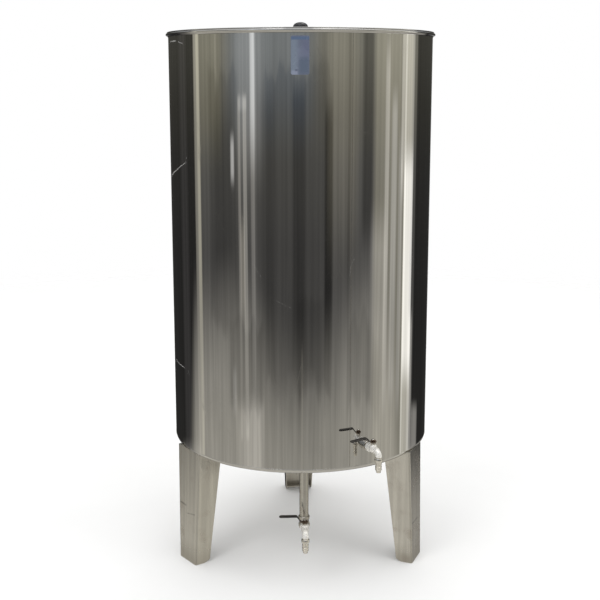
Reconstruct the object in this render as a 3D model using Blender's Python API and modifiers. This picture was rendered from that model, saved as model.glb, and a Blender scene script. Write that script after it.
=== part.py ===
"""A free-standing stainless steel storage tank of about 500 litres on three folded legs.

The floor is z = 0, the front of the tank faces -Y, and an azimuth is measured from the front
towards +X, in degrees. All sizes are metres. The tank's axis lies a little off the origin in Y,
so that the origin is the middle of the whole part's footprint.
"""
import math

import bmesh
import bpy
from mathutils import Matrix, Vector

# Driving dimensions of the vessel
RADIUS = 0.380            # outside of the rolled wall
SHELL_HEIGHT = 1.190      # from the flat bottom to the top of the rim
LEG_HEIGHT = 0.335        # from the floor to the flat bottom
SHEET = 0.0015            # wall sheet
HEAD_SHEET = 0.0020       # bottom sheet
KNUCKLE = 0.012           # radius where the bottom turns up into the wall
GAP = 0.0003              # left between pieces that touch

# Rolled rim
RIM_REACH = 0.007         # how far the rim stands out of the wall
RIM_NOSE = 0.0036         # radius of its outer edge
RIM_DROP = 0.011          # from its top to the end of the flare
RIM_SEAT = 0.0045         # from its top to the wall's own edge
RIM_INNER_ROUND = 0.0022
RIM_FLARE_FOOT = 0.0010   # thickness of the flare where it ends on the wall

# Lid
LID_SHEET = 0.0012
LID_OVERLAP = 0.0035      # how far the lid's edge lies outside the wall line
LID_HEM = 0.0030          # thickness of its folded edge
LID_HEM_WIDTH = 0.0080
LID_HEM_ROUND = 0.0010
LID_SKIRT_CLEARANCE = 0.0055
LID_SKIRT_DROP = 0.018
KNOB_RADIUS = 0.0215
KNOB_TOP = 0.0345         # above the rim
KNOB_DOME = 0.0125        # height of the dome above its widest line
KNOB_UNDER = (0.90, 0.0030)     # share of the radius and drop of its underside's edge
KNOB_NECK = (0.0100, 0.0055)    # radius, and drop from the widest line
WASHER_RADIUS = 0.0160
WASHER_THICK = 0.0020

# Legs: folded channels, open towards the axis
LEG_AZIMUTHS = {"left": -58.5, "right": 61.5, "back": 181.5}
LEG_SHEET = 0.0025
LEG_TURN = 6.0            # how far each web is welded on out of square with its radius, in degrees
LEG_FACE = 0.381          # outer face of the web at its top, from the axis
LEG_SPLAY = 0.009         # how much farther out the foot stands
LEG_HALF_FOOT = 0.0435
LEG_HALF_TOP = 0.0560
LEG_FLANGE_FOOT = 0.048
LEG_FLANGE_TOP = 0.078
LEG_RISE = 0.008          # how far the web climbs past the flat bottom
FOOT_CORNER = (0.014, 0.008)
FOOT_PLATE = 0.0040
FOOT_PLATE_DEPTH = 0.020
CUT_PAST = 0.010          # how far a cutter runs past what it cuts

# Both taps are alike: flow runs along local +X, the stem along +Z, the closed lever along -Y
SOCKET_END = 0.0160
NIPPLE_END = 0.0200
NIPPLE_RADIUS = 0.0090
BODY_END = 0.0560
STEM_AT = 0.0440
SPOUT_AT = 0.0720
HEX_INLET = 0.0235        # across flats
HEX_INLET_LENGTH = 0.0110
CHAMBER_RADIUS = 0.0110
CHAMBER_PAST_STEM = 0.0070
OUTLET_RADIUS = 0.0100
NECK_RADIUS = 0.0080
NECK_TOP = 0.0130
NECK_HOLE_DEPTH = 0.0080
PACKING_FLATS = 0.0145
PACKING_TOP = 0.0178
STEM_RADIUS = 0.0035
STEM_SHOULDER = 0.0050
STEM_SHOULDER_Z = (0.0186, 0.0198)
STEM_TOP = 0.0288
LEVER_SHEET = 0.0024
LEVER_LENGTH = 0.0720
LEVER_SHAPES = {"tap": (0.0128, 0.0028), "drain": (0.0167, 0.0)}  # rise to the grip, droop to its tip
LEVER_BEND = (0.0090, 0.0240)
LEVER_LEAN = 0.45         # offset of the strap's upper bends, in sheet thicknesses
LEVER_FLARE = (0.0060, 0.0040)  # where the grip widens, before and after the upper bend
LEVER_HUB_RADIUS = 0.0090
LEVER_HALF_NECK = 0.0055
LEVER_HALF_GRIP = 0.0072
LEVER_NUT_FLATS = 0.0110
LEVER_NUT_HEIGHT = 0.0045
SPOUT_RADIUS = 0.0086
SPOUT_BEND = 0.0120
SPOUT_BORE = 0.0050
SPOUT_END = -0.0140
TAIL_END = -0.0580
TAIL_BORE = 0.0040
TAIL_TURNS = ((0.0086, 0.0030), (0.0112, 0.0035), (0.0112, 0.0115), (0.0085, 0.0120), (0.0085, 0.0190),
              (0.0093, 0.0195), (0.0082, 0.0270), (0.0093, 0.0275), (0.0082, 0.0350))  # radius, drop
TAIL_TIP = 0.0060

# Side tap
TAP_AZIMUTH = 27.8
TAP_HEIGHT = 0.0715       # above the flat bottom
SOCKET_RADIUS = 0.0135
SOCKET_BORE = 0.0070
SOCKET_ROOT = 0.0040      # how far its stock runs inside the wall line before it is cut to the wall

# Bottom drain
DRAIN_PLACE = (0.0098, -0.298)  # from the tank's axis
DRAIN_HEADING = 3.0
DRAIN_DROP = 0.175              # from the flat bottom to the tap's axis
PIPE_RADIUS = 0.0127
PIPE_BORE = 0.0102
DRAIN_COLLAR = 0.0190
DRAIN_COLLAR_HEIGHT = 0.0100
DRAIN_COLLAR_FOOT = 0.0025      # thickness of its lower edge
ELBOW_RADIUS = 0.0132
ELBOW_BEND = 0.0150
ELBOW_TOP = 0.0210
ELBOW_COLLAR = 0.0158
ELBOW_COLLAR_HEIGHT = 0.0080

# Faceting
WALL_STEPS = 96
SMALL_STEPS = 20
ARC_STEPS = 5
SMOOTH_ANGLE = math.radians(32)

# Worked out from the sizes above
RIM_TOP = LEG_HEIGHT + SHELL_HEIGHT
PLATE_EDGE = RADIUS - KNUCKLE
KNUCKLE_CENTER = (PLATE_EDGE, LEG_HEIGHT + KNUCKLE)
LID_TOP = RIM_TOP + GAP + LID_SHEET
TAP_TURN = math.radians(TAP_AZIMUTH)
LEVER_TIP = LEVER_LENGTH - LEVER_HALF_GRIP
TAP_FRONT = (RADIUS + STEM_AT) * math.cos(TAP_TURN) + LEVER_TIP * math.sin(TAP_TURN) + LEVER_HALF_GRIP
BACK_TURN = math.radians(LEG_AZIMUTHS["back"] - 180)
BACK_REACH = (LEG_FACE + LEG_SPLAY) * math.cos(BACK_TURN) + LEG_HALF_FOOT * math.sin(
    BACK_TURN + math.radians(LEG_TURN))
AXIS_Y = (TAP_FRONT - BACK_REACH) / 2

FINISHES = {
    "polished_steel": ((0.66, 0.65, 0.62), 1.0, 0.12),
    "satin_steel": ((0.52, 0.51, 0.47), 1.0, 0.38),
    "nickel_plate": ((0.78, 0.76, 0.70), 1.0, 0.16),
    "black_vinyl": ((0.012, 0.012, 0.012), 0.0, 0.45),
    "black_knob": ((0.015, 0.015, 0.016), 0.0, 0.30),
    "plated_nut": ((0.30, 0.24, 0.17), 1.0, 0.35),
}


def clear_scene():
    for item in list(bpy.data.objects):
        bpy.data.objects.remove(item, do_unlink=True)


def new_collection(name):
    group = bpy.data.collections.new(name)
    bpy.context.scene.collection.children.link(group)
    return group


def finish_material(name):
    """Return the Principled material for one of the finishes, made on first use."""
    known = bpy.data.materials.get(name)
    if known:
        return known
    color, metallic, roughness = FINISHES[name]
    material = bpy.data.materials.new(name)
    material.use_nodes = True
    shader = material.node_tree.nodes["Principled BSDF"]
    shader.inputs["Base Color"].default_value = (*color, 1.0)
    shader.inputs["Metallic"].default_value = metallic
    shader.inputs["Roughness"].default_value = roughness
    return material


def place(item, group, parent=None, location=(0, 0, 0), rotation=(0, 0, 0)):
    group.objects.link(item)
    item.parent = parent
    item.location = location
    item.rotation_euler = rotation
    return item


def empty(name, parent=None, location=(0, 0, 0), rotation=(0, 0, 0)):
    return place(bpy.data.objects.new(name, None), PARTS, parent, location, rotation)


def piece(name, mesh, finish, parent, location=(0, 0, 0), rotation=(0, 0, 0)):
    """Add a finished node to the model."""
    item = bpy.data.objects.new(name, mesh)
    item.data.materials.append(finish_material(finish))
    return place(item, PARTS, parent, location, rotation)


def cutter(name, mesh, parent, location=(0, 0, 0), rotation=(0, 0, 0)):
    """Add a helper shape that only serves Boolean modifiers."""
    item = bpy.data.objects.new(name, mesh)
    item.hide_render = True
    item.display_type = "WIRE"
    return place(item, CUTTERS, parent, location, rotation)


def boolean(item, other, operation="DIFFERENCE"):
    modifier = item.modifiers.new(other.name, "BOOLEAN")
    modifier.operation = operation
    modifier.solver = "EXACT"
    modifier.object = other


def smooth(item, angle=SMOOTH_ANGLE):
    item.data.shade_smooth()
    item.data.set_sharp_from_angle(angle=angle)


def arc(center, radius, start, end, steps=ARC_STEPS):
    """Points (x, z) on an arc, angles in degrees, both ends included."""
    points = []
    for step in range(steps + 1):
        angle = math.radians(start + (end - start) * step / steps)
        points.append((center[0] + radius * math.cos(angle), center[1] + radius * math.sin(angle)))
    return points


def profile_mesh(name, points, closed):
    """A wire of (radius, z) points at +X, the start of a turned shape."""
    mesh = bpy.data.meshes.new(name)
    edges = [(i, i + 1) for i in range(len(points) - 1)]
    if closed:
        edges.append((len(points) - 1, 0))
    mesh.from_pydata([(r, 0, z) for r, z in points], edges, [])
    return mesh


def screw(item, steps):
    modifier = item.modifiers.new("turn", "SCREW")
    modifier.axis = "Z"
    modifier.angle = math.tau
    modifier.screw_offset = 0
    modifier.steps = steps
    modifier.render_steps = steps
    modifier.use_merge_vertices = True
    modifier.merge_threshold = 0.00005
    modifier.use_smooth_shade = True


def turned(name, points, finish, parent, steps=SMALL_STEPS, closed=False, location=(0, 0, 0),
           rotation=(0, 0, 0)):
    """A turned piece: the points run down its outer side, from top to bottom."""
    item = piece(name, profile_mesh(name, points, closed), finish, parent, location, rotation)
    screw(item, steps)
    return item


def turned_cutter(name, points, parent, steps=SMALL_STEPS, location=(0, 0, 0), rotation=(0, 0, 0)):
    item = cutter(name, profile_mesh(name, points, False), parent, location, rotation)
    screw(item, steps)
    return item


def cylinder_mesh(name, radius, low, high, steps=SMALL_STEPS):
    """An upright capped cylinder, or a prism where the steps are few."""
    mesh = bpy.data.meshes.new(name)
    shape = bmesh.new()
    bmesh.ops.create_cone(shape, cap_ends=True, segments=steps, radius1=radius, radius2=radius,
                          depth=high - low, matrix=Matrix.Translation((0, 0, (low + high) / 2)))
    shape.to_mesh(mesh)
    shape.free()
    return mesh


def hex_mesh(name, flats, low, high):
    return cylinder_mesh(name, flats / 2 / math.cos(math.pi / 6), low, high, 6)


def leg_lean(z):
    """How far out a leg stands at a height, past its face at the top."""
    return LEG_SPLAY * (1 - z / LEG_HEIGHT)


def block_mesh(name, low, high, taper=None):
    """A box of a leg between two corners; taper gives the half width in Y at the top instead."""
    mesh = bpy.data.meshes.new(name)
    shape = bmesh.new()
    bmesh.ops.create_cube(shape, size=1.0)
    low, high = Vector(low), Vector(high)
    for vert in shape.verts:
        upper = vert.co.z > 0
        vert.co = Vector(high[i] if vert.co[i] > 0 else low[i] for i in range(3))
        vert.co.x += leg_lean(vert.co.z)
        if taper is not None and upper:
            vert.co.y = math.copysign(taper, vert.co.y)
    shape.to_mesh(mesh)
    shape.free()
    return mesh


def mesh_from_curve(name, curve):
    """Turn a curve into a welded closed mesh."""
    guide = bpy.data.objects.new(name, curve)
    bpy.context.scene.collection.objects.link(guide)
    bpy.context.view_layer.update()
    graph = bpy.context.evaluated_depsgraph_get()
    mesh = bpy.data.meshes.new_from_object(guide.evaluated_get(graph))
    mesh.name = name
    shape = bmesh.new()
    shape.from_mesh(mesh)
    bmesh.ops.remove_doubles(shape, verts=shape.verts, dist=0.00001)
    bmesh.ops.recalc_face_normals(shape, faces=shape.faces)
    shape.to_mesh(mesh)
    shape.free()
    mesh.materials.clear()
    bpy.data.objects.remove(guide, do_unlink=True)
    bpy.data.curves.remove(curve)
    return mesh


def tube_mesh(name, points, radius, resolution=4):
    """A solid round bar along points."""
    curve = bpy.data.curves.new(name, "CURVE")
    curve.dimensions = "3D"
    curve.bevel_depth = radius
    curve.bevel_resolution = resolution
    curve.use_fill_caps = True
    spline = curve.splines.new("POLY")
    spline.points.add(len(points) - 1)
    for point, spot in zip(spline.points, points):
        point.co = (*spot, 1.0)
    return mesh_from_curve(name, curve)


def outline_mesh(name, points, half_thickness):
    """A flat plate in its own XY plane, from a closed outline."""
    curve = bpy.data.curves.new(name, "CURVE")
    curve.dimensions = "2D"
    curve.fill_mode = "BOTH"
    curve.extrude = half_thickness
    spline = curve.splines.new("POLY")
    spline.points.add(len(points) - 1)
    for point, spot in zip(spline.points, points):
        point.co = (*spot, 0.0, 1.0)
    spline.use_cyclic_u = True
    return mesh_from_curve(name, curve)


def heading(azimuth):
    """Turn that points local +X outward at an azimuth from the front."""
    return (0, 0, math.radians(azimuth - 90))


def around(azimuth, radius, z):
    angle = math.radians(azimuth)
    return (radius * math.sin(angle), -radius * math.cos(angle), z)


# Vessel
def knuckle_outline(offset):
    """Outer line of the knuckle, from the wall down to the flat bottom, moved out by an offset."""
    return arc(KNUCKLE_CENTER, KNUCKLE + offset, 0, -90, 6)


def make_bottom(axis):
    """The flat bottom plate and the rolled ring that turns it up into the wall."""
    ring = knuckle_outline(0) + arc(KNUCKLE_CENTER, KNUCKLE - HEAD_SHEET, -90, 0, 6)
    turned("bottom_ring", ring, "polished_steel", axis, WALL_STEPS, closed=True)
    plate = cylinder_mesh("tank_bottom", PLATE_EDGE - GAP, LEG_HEIGHT, LEG_HEIGHT + HEAD_SHEET, WALL_STEPS)
    plate = piece("tank_bottom", plate, "polished_steel", axis)
    hole = cylinder_mesh("drain_hole", PIPE_BORE, LEG_HEIGHT - CUT_PAST, LEG_HEIGHT + CUT_PAST)
    boolean(plate, cutter("drain_hole", hole, axis, (*DRAIN_PLACE, 0)))


def make_shell(axis):
    low = LEG_HEIGHT + KNUCKLE + GAP
    high = RIM_TOP - RIM_SEAT
    inner = RADIUS - SHEET
    profile = [(inner, high), (RADIUS, high), (RADIUS, low), (inner, low)]
    shell = turned("shell", profile, "polished_steel", axis, WALL_STEPS, closed=True)
    hole = cylinder_mesh("tap_hole", SOCKET_BORE, RADIUS - CUT_PAST, RADIUS + CUT_PAST)
    turn = (0, math.radians(90), math.radians(TAP_AZIMUTH - 90))
    boolean(shell, cutter("tap_hole", hole, axis, (0, 0, LEG_HEIGHT + TAP_HEIGHT), turn))


def make_rim(axis):
    """The rolled edge: it sits on the wall's own edge and flares out of the wall below."""
    nose = (RADIUS + RIM_REACH - RIM_NOSE, RIM_TOP - RIM_NOSE)
    inner = RADIUS - SHEET
    profile = arc((inner + RIM_INNER_ROUND, RIM_TOP - RIM_INNER_ROUND), RIM_INNER_ROUND, 180, 90, 3)
    profile += arc(nose, RIM_NOSE, 90, -60, 7)
    flare_start = profile[-1]
    flare_end = (RADIUS + RIM_FLARE_FOOT, RIM_TOP - RIM_DROP)
    for step in range(1, 4):
        share = step / 3
        width = (flare_start[0] - flare_end[0]) * (1 - share) ** 2
        profile.append((flare_end[0] + width, flare_start[1] + (flare_end[1] - flare_start[1]) * share))
    seat = RIM_TOP - RIM_SEAT + GAP
    profile += [(RADIUS + GAP, RIM_TOP - RIM_DROP), (RADIUS + GAP, seat), (inner, seat)]
    turned("top_rim", profile, "polished_steel", axis, WALL_STEPS, closed=True)


def make_lid(axis):
    """A flat lid with a folded edge that lies on the rim and a skirt that keeps it in place."""
    low = RIM_TOP + GAP
    edge = RADIUS + LID_OVERLAP
    skirt = RADIUS - SHEET - LID_SKIRT_CLEARANCE
    profile = [
        (0, LID_TOP),
        (edge - LID_HEM_WIDTH, LID_TOP),
        (edge - LID_HEM_WIDTH + LID_HEM_ROUND, low + LID_HEM),
        (edge - LID_HEM_ROUND, low + LID_HEM),
        (edge, low + LID_HEM / 2),
        (edge, low),
        (skirt, low),
        (skirt, low - LID_SKIRT_DROP),
        (skirt - LID_SHEET, low - LID_SKIRT_DROP),
        (skirt - LID_SHEET, low),
        (0, low),
    ]
    turned("lid", profile, "polished_steel", axis, WALL_STEPS)
    low = LID_TOP + GAP
    washer = cylinder_mesh("lid_washer", WASHER_RADIUS, low, low + WASHER_THICK, 24)
    smooth(piece("lid_washer", washer, "nickel_plate", axis))
    low += WASHER_THICK + GAP
    top = RIM_TOP + KNOB_TOP
    belly = top - KNOB_DOME
    dome = [(KNOB_RADIUS * x, belly + KNOB_DOME * z) for x, z in arc((0, 0), 1, 90, 0, 7)]
    share, drop = KNOB_UNDER
    neck, neck_drop = KNOB_NECK
    under = [(KNOB_RADIUS * share, belly - drop), (neck, belly - neck_drop), (neck, low), (0, low)]
    turned("lid_knob", dome + under, "black_knob", axis, 28)


# Legs
def make_leg(side, azimuth, axis, head):
    top = LEG_HEIGHT + LEG_RISE
    where = {"parent": axis, "location": around(azimuth, LEG_FACE, 0),
             "rotation": heading(azimuth + LEG_TURN)}
    name = "leg_" + side
    depth = 2 * LEG_FLANGE_TOP
    outer = block_mesh(name, (-depth, -LEG_HALF_FOOT, 0), (0, LEG_HALF_FOOT, top), LEG_HALF_TOP)
    leg = piece(name, outer, "satin_steel", **where)
    chamfer, rise = FOOT_CORNER
    toe = -LEG_FLANGE_FOOT + chamfer
    side_line = [(CUT_PAST, -CUT_PAST), (CUT_PAST, top + CUT_PAST), (-LEG_FLANGE_TOP, top + CUT_PAST),
                 (-LEG_FLANGE_FOOT, rise), (toe, 0), (toe, -CUT_PAST)]
    side_line = [(x + leg_lean(z), z) for x, z in side_line]
    side_view = outline_mesh(name + "_side", side_line, LEG_HALF_TOP + CUT_PAST)
    frame = empty(name + "_place", **where)
    boolean(leg, cutter(name + "_side", side_view, frame, rotation=(math.radians(90), 0, 0)), "INTERSECT")
    spread = (LEG_HALF_TOP - LEG_HALF_FOOT) / top * CUT_PAST
    half_foot = LEG_HALF_FOOT - LEG_SHEET - spread
    hollow = block_mesh(name + "_hollow", (-depth - CUT_PAST, -half_foot, -CUT_PAST),
                        (-LEG_SHEET, half_foot, top + CUT_PAST), LEG_HALF_TOP - LEG_SHEET + spread)
    boolean(leg, cutter(name + "_hollow", hollow, frame))
    boolean(leg, head)
    inside = LEG_HALF_FOOT - LEG_SHEET - GAP
    plate = block_mesh("foot_plate_" + side, (-LEG_SHEET - GAP - FOOT_PLATE_DEPTH, -inside, 0),
                       (-LEG_SHEET - GAP, inside, FOOT_PLATE))
    piece("foot_plate_" + side, plate, "satin_steel", **where)


def make_legs(axis):
    profile = [(0, RIM_TOP), (RADIUS + GAP, RIM_TOP)] + knuckle_outline(GAP) + [(0, LEG_HEIGHT - GAP)]
    head = turned_cutter("head_room", profile, axis, WALL_STEPS)
    for side, azimuth in LEG_AZIMUTHS.items():
        make_leg(side, azimuth, axis, head)


# Taps
def make_valve_body(name, frame):
    body = piece(name, hex_mesh(name, HEX_INLET, 0, HEX_INLET_LENGTH), "nickel_plate", frame,
                 (NIPPLE_END + GAP, 0, 0), (0, math.radians(90), 0))
    start = HEX_INLET_LENGTH / 2 + NIPPLE_END
    chamber = cylinder_mesh(name + "_chamber", CHAMBER_RADIUS, start, STEM_AT + CHAMBER_PAST_STEM)
    chamber = cutter(name + "_chamber", chamber, frame, rotation=(0, math.radians(90), 0))
    outlet = cylinder_mesh(name + "_outlet", OUTLET_RADIUS, STEM_AT, BODY_END)
    outlet = cutter(name + "_outlet", outlet, frame, rotation=(0, math.radians(90), 0))
    neck = cylinder_mesh(name + "_neck", NECK_RADIUS, 0, NECK_TOP)
    neck = cutter(name + "_neck", neck, frame, (STEM_AT, 0, 0))
    low, high = NECK_TOP - NECK_HOLE_DEPTH, NECK_TOP + CUT_PAST
    hole = cylinder_mesh(name + "_stem_hole", STEM_RADIUS + GAP, low, high)
    hole = cutter(name + "_stem_hole", hole, frame, (STEM_AT, 0, 0))
    for part in (chamber, outlet, neck):
        boolean(body, part, "UNION")
    boolean(body, hole)


def make_packing_nut(name, frame):
    low = NECK_TOP + GAP
    nut = hex_mesh(name, PACKING_FLATS, low, PACKING_TOP)
    nut = piece(name, nut, "nickel_plate", frame, (STEM_AT, 0, 0))
    hole = cylinder_mesh(name + "_hole", STEM_RADIUS + GAP, low - CUT_PAST, PACKING_TOP + CUT_PAST)
    boolean(nut, cutter(name + "_hole", hole, frame, (STEM_AT, 0, 0)))


def make_stem(name, pivot):
    low = NECK_TOP - NECK_HOLE_DEPTH + GAP
    shoulder_low, shoulder_high = STEM_SHOULDER_Z
    profile = [(0, STEM_TOP), (STEM_RADIUS, STEM_TOP), (STEM_RADIUS, shoulder_high),
               (STEM_SHOULDER, shoulder_high), (STEM_SHOULDER, shoulder_low),
               (STEM_RADIUS, shoulder_low), (STEM_RADIUS, low), (0, low)]
    turned(name, profile, "nickel_plate", pivot)


def lever_side_line(rise, droop):
    """Side view of the strap, (reach, z): hub, rise and grip, with its thickness."""
    low = STEM_SHOULDER_Z[1] + GAP
    start, end = LEVER_BEND
    high = low + rise
    lean = LEVER_SHEET * LEVER_LEAN
    lower = [(-LEVER_HUB_RADIUS, low), (start, low), (end, high), (LEVER_LENGTH, high - droop)]
    upper = [(LEVER_LENGTH, high - droop), (end - lean, high), (start - lean, low), (-LEVER_HUB_RADIUS, low)]
    return lower + [(reach, z + LEVER_SHEET) for reach, z in upper]


def lever_plan():
    """Plan of the strap, (reach, half width on each side): a round hub, a neck and a round tip."""
    neck_angle = math.degrees(math.asin(LEVER_HALF_NECK / LEVER_HUB_RADIUS))
    hub = arc((0, 0), LEVER_HUB_RADIUS, neck_angle, 360 - neck_angle, 12)
    tip_center = LEVER_LENGTH - LEVER_HALF_GRIP
    tip = arc((tip_center, 0), LEVER_HALF_GRIP, -90, 90, 8)
    narrow, wide = LEVER_BEND[1] - LEVER_FLARE[0], LEVER_BEND[1] + LEVER_FLARE[1]
    return hub + [(narrow, -LEVER_HALF_NECK), (wide, -LEVER_HALF_GRIP)] + tip + [
        (wide, LEVER_HALF_GRIP), (narrow, LEVER_HALF_NECK)]


def make_lever(name, pivot, shape):
    """The strap is its side view given its width, then trimmed to its plan."""
    quarter = math.radians(90)
    side = outline_mesh(name, lever_side_line(*shape), LEVER_HUB_RADIUS + CUT_PAST)
    side.transform(Matrix.Rotation(quarter, 4, "X"))
    side.transform(Matrix.Rotation(-quarter, 4, "Z"))
    lever = piece(name, side, "black_vinyl", pivot)
    plan = outline_mesh(name + "_plan", lever_plan(), LEVER_LENGTH)
    plan.transform(Matrix.Rotation(-quarter, 4, "Z"))
    boolean(lever, cutter(name + "_plan", plan, pivot), "INTERSECT")
    hole = cylinder_mesh(name + "_hole", STEM_RADIUS + GAP, 0, STEM_TOP + CUT_PAST)
    boolean(lever, cutter(name + "_hole", hole, pivot))


def make_lever_nut(name, pivot):
    low = STEM_SHOULDER_Z[1] + LEVER_SHEET + 2 * GAP
    nut = piece(name, hex_mesh(name, LEVER_NUT_FLATS, low, low + LEVER_NUT_HEIGHT), "plated_nut", pivot)
    hole = cylinder_mesh(name + "_hole", STEM_RADIUS + GAP, low - CUT_PAST, STEM_TOP + CUT_PAST)
    boolean(nut, cutter(name + "_hole", hole, pivot))


def bend_points(start, radius, end, down_to, steps=6):
    """A route along +X that turns down; returns points (x, 0, z)."""
    center = (end - radius, -radius)
    curve = [(x, 0, z) for x, z in arc(center, radius, 90, 0, steps)]
    return [(start, 0, 0)] + curve + [(end, 0, down_to)]


def make_spout(name, frame):
    route = bend_points(BODY_END + GAP, SPOUT_BEND, SPOUT_AT, SPOUT_END)
    spout = piece(name, tube_mesh(name, route, SPOUT_RADIUS), "nickel_plate", frame)
    bore_route = bend_points(BODY_END - CUT_PAST, SPOUT_BEND, SPOUT_AT, SPOUT_END - CUT_PAST)
    boolean(spout, cutter(name + "_bore", tube_mesh(name + "_bore", bore_route, SPOUT_BORE, 2), frame))
    smooth(spout)


def make_hose_tail(name, frame):
    top = SPOUT_END - GAP
    profile = [(TAIL_BORE, top), (SPOUT_RADIUS, top)] + [(r, top - drop) for r, drop in TAIL_TURNS]
    profile += [(TAIL_TIP, TAIL_END), (TAIL_BORE, TAIL_END)]
    turned(name, profile, "nickel_plate", frame, closed=True, location=(SPOUT_AT, 0, 0))


def make_tap(prefix, axis, origin, azimuth):
    """The valve, its lever and its spout, outward from a socket or elbow."""
    frame = empty(prefix + "_frame", axis, origin, heading(azimuth))
    sideways = (0, math.radians(90), 0)
    nipple = cylinder_mesh(prefix + "_nipple", NIPPLE_RADIUS, SOCKET_END + GAP, NIPPLE_END)
    smooth(piece(prefix + "_nipple", nipple, "nickel_plate", frame, rotation=sideways))
    make_valve_body(prefix + "_valve_body", frame)
    make_packing_nut(prefix + "_packing_nut", frame)
    make_spout(prefix + "_spout", frame)
    make_hose_tail(prefix + "_hose_tail", frame)
    pivot = empty(prefix + "_lever_pivot", frame, (STEM_AT, 0, 0))
    make_stem(prefix + "_stem", pivot)
    make_lever(prefix + "_lever", pivot, LEVER_SHAPES[prefix])
    make_lever_nut(prefix + "_lever_nut", pivot)
    return frame


def make_side_tap(axis):
    origin = around(TAP_AZIMUTH, RADIUS, LEG_HEIGHT + TAP_HEIGHT)
    frame = make_tap("tap", axis, origin, TAP_AZIMUTH)
    profile = [(SOCKET_BORE, SOCKET_END), (SOCKET_RADIUS, SOCKET_END), (SOCKET_RADIUS, -SOCKET_ROOT),
               (SOCKET_BORE, -SOCKET_ROOT)]
    socket = turned("tap_socket", profile, "polished_steel", frame, closed=True,
                    rotation=(0, math.radians(90), 0))
    wall = cylinder_mesh("wall_room", RADIUS + GAP, LEG_HEIGHT, RIM_TOP, 2 * WALL_STEPS)
    boolean(socket, cutter("wall_room", wall, axis))


def make_drain(axis):
    height = LEG_HEIGHT - DRAIN_DROP
    frame = make_tap("drain", axis, (*DRAIN_PLACE, height), DRAIN_HEADING)
    top = DRAIN_DROP - GAP
    low = ELBOW_TOP + GAP
    profile = [(PIPE_BORE, top), (PIPE_RADIUS, top), (PIPE_RADIUS, low), (PIPE_BORE, low)]
    turned("drain_pipe", profile, "satin_steel", frame, closed=True)
    inner = PIPE_RADIUS + GAP
    low = top - DRAIN_COLLAR_HEIGHT
    profile = [(inner, top), (DRAIN_COLLAR, top), (DRAIN_COLLAR, top - DRAIN_COLLAR_HEIGHT / 2),
               (PIPE_RADIUS + DRAIN_COLLAR_FOOT, low), (inner, low)]
    turned("drain_collar", profile, "satin_steel", frame, closed=True)
    make_elbow("drain_elbow", frame)


def make_elbow(name, frame):
    curve = [(x, 0, z) for x, z in arc((ELBOW_BEND, ELBOW_BEND), ELBOW_BEND, 180, 270, 7)]
    elbow = tube_mesh(name, [(0, 0, ELBOW_TOP - GAP)] + curve, ELBOW_RADIUS)
    elbow = piece(name, elbow, "satin_steel", frame)
    upper = cylinder_mesh(name + "_upper_collar", ELBOW_COLLAR, ELBOW_TOP - ELBOW_COLLAR_HEIGHT, ELBOW_TOP)
    boolean(elbow, cutter(name + "_upper_collar", upper, frame), "UNION")
    front = cylinder_mesh(name + "_front_collar", ELBOW_COLLAR, SOCKET_END - ELBOW_COLLAR_HEIGHT, SOCKET_END)
    boolean(elbow, cutter(name + "_front_collar", front, frame, rotation=(0, math.radians(90), 0)), "UNION")
    bore = [(0, 0, ELBOW_TOP + CUT_PAST)] + curve + [(SOCKET_END + CUT_PAST, 0, 0)]
    boolean(elbow, cutter(name + "_bore", tube_mesh(name + "_bore", bore, SOCKET_BORE, 2), frame))
    smooth(elbow)


def build():
    axis = empty("tank_axis", location=(0, AXIS_Y, 0))
    make_bottom(axis)
    make_shell(axis)
    make_rim(axis)
    make_lid(axis)
    make_legs(axis)
    make_side_tap(axis)
    make_drain(axis)


clear_scene()
PARTS = new_collection("storage_tank")
CUTTERS = new_collection("cutters")
build()
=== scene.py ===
import math

import bmesh
import bpy
from mathutils import Matrix, Vector, noise


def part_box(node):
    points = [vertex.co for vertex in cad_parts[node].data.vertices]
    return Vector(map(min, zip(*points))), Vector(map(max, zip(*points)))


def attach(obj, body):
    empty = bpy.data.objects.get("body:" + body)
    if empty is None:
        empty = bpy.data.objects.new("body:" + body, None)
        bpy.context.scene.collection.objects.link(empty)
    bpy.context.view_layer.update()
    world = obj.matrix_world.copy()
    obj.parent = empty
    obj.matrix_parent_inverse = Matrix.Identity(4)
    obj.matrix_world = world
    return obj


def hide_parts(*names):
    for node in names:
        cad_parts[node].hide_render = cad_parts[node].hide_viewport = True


bl_info = {
    "name": "Polished Storage Tank",
    "version": (1, 1, 0),
    "blender": (4, 5, 0),
    "location": "3D View > Sidebar > Tank",
    "description": "Dresses a packed storage tank: wall, rim, lid, legs, taps and a small studio",
    "category": "Add Mesh",
}

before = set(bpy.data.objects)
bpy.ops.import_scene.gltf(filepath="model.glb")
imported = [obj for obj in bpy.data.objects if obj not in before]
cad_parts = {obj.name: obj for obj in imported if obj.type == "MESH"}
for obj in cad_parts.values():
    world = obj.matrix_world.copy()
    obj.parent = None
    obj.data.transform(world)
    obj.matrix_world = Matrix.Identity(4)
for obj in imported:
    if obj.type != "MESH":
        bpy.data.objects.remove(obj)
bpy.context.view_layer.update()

WALL_LOW, WALL_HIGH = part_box("shell")
RING_LOW, RING_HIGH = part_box("bottom_ring")
RIM_LOW, RIM_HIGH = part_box("top_rim")
WALL_RADIUS = (WALL_HIGH.x - WALL_LOW.x) / 2
AXIS_Y = (WALL_LOW.y + WALL_HIGH.y) / 2
BOTTOM = RING_LOW.z
GAP = 0.0003                    # between pieces that meet
MERGE = 0.000002                # points nearer than this become one
AXIS = Matrix.Translation((0, AXIS_Y, 0))
RIGHT_ANGLE = math.radians(90)


# Sizes and colours that a user would change
def length(name, description, default):
    return bpy.props.FloatProperty(name=name, description=description, default=default, min=0,
                                   precision=4, unit="LENGTH")


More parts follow.
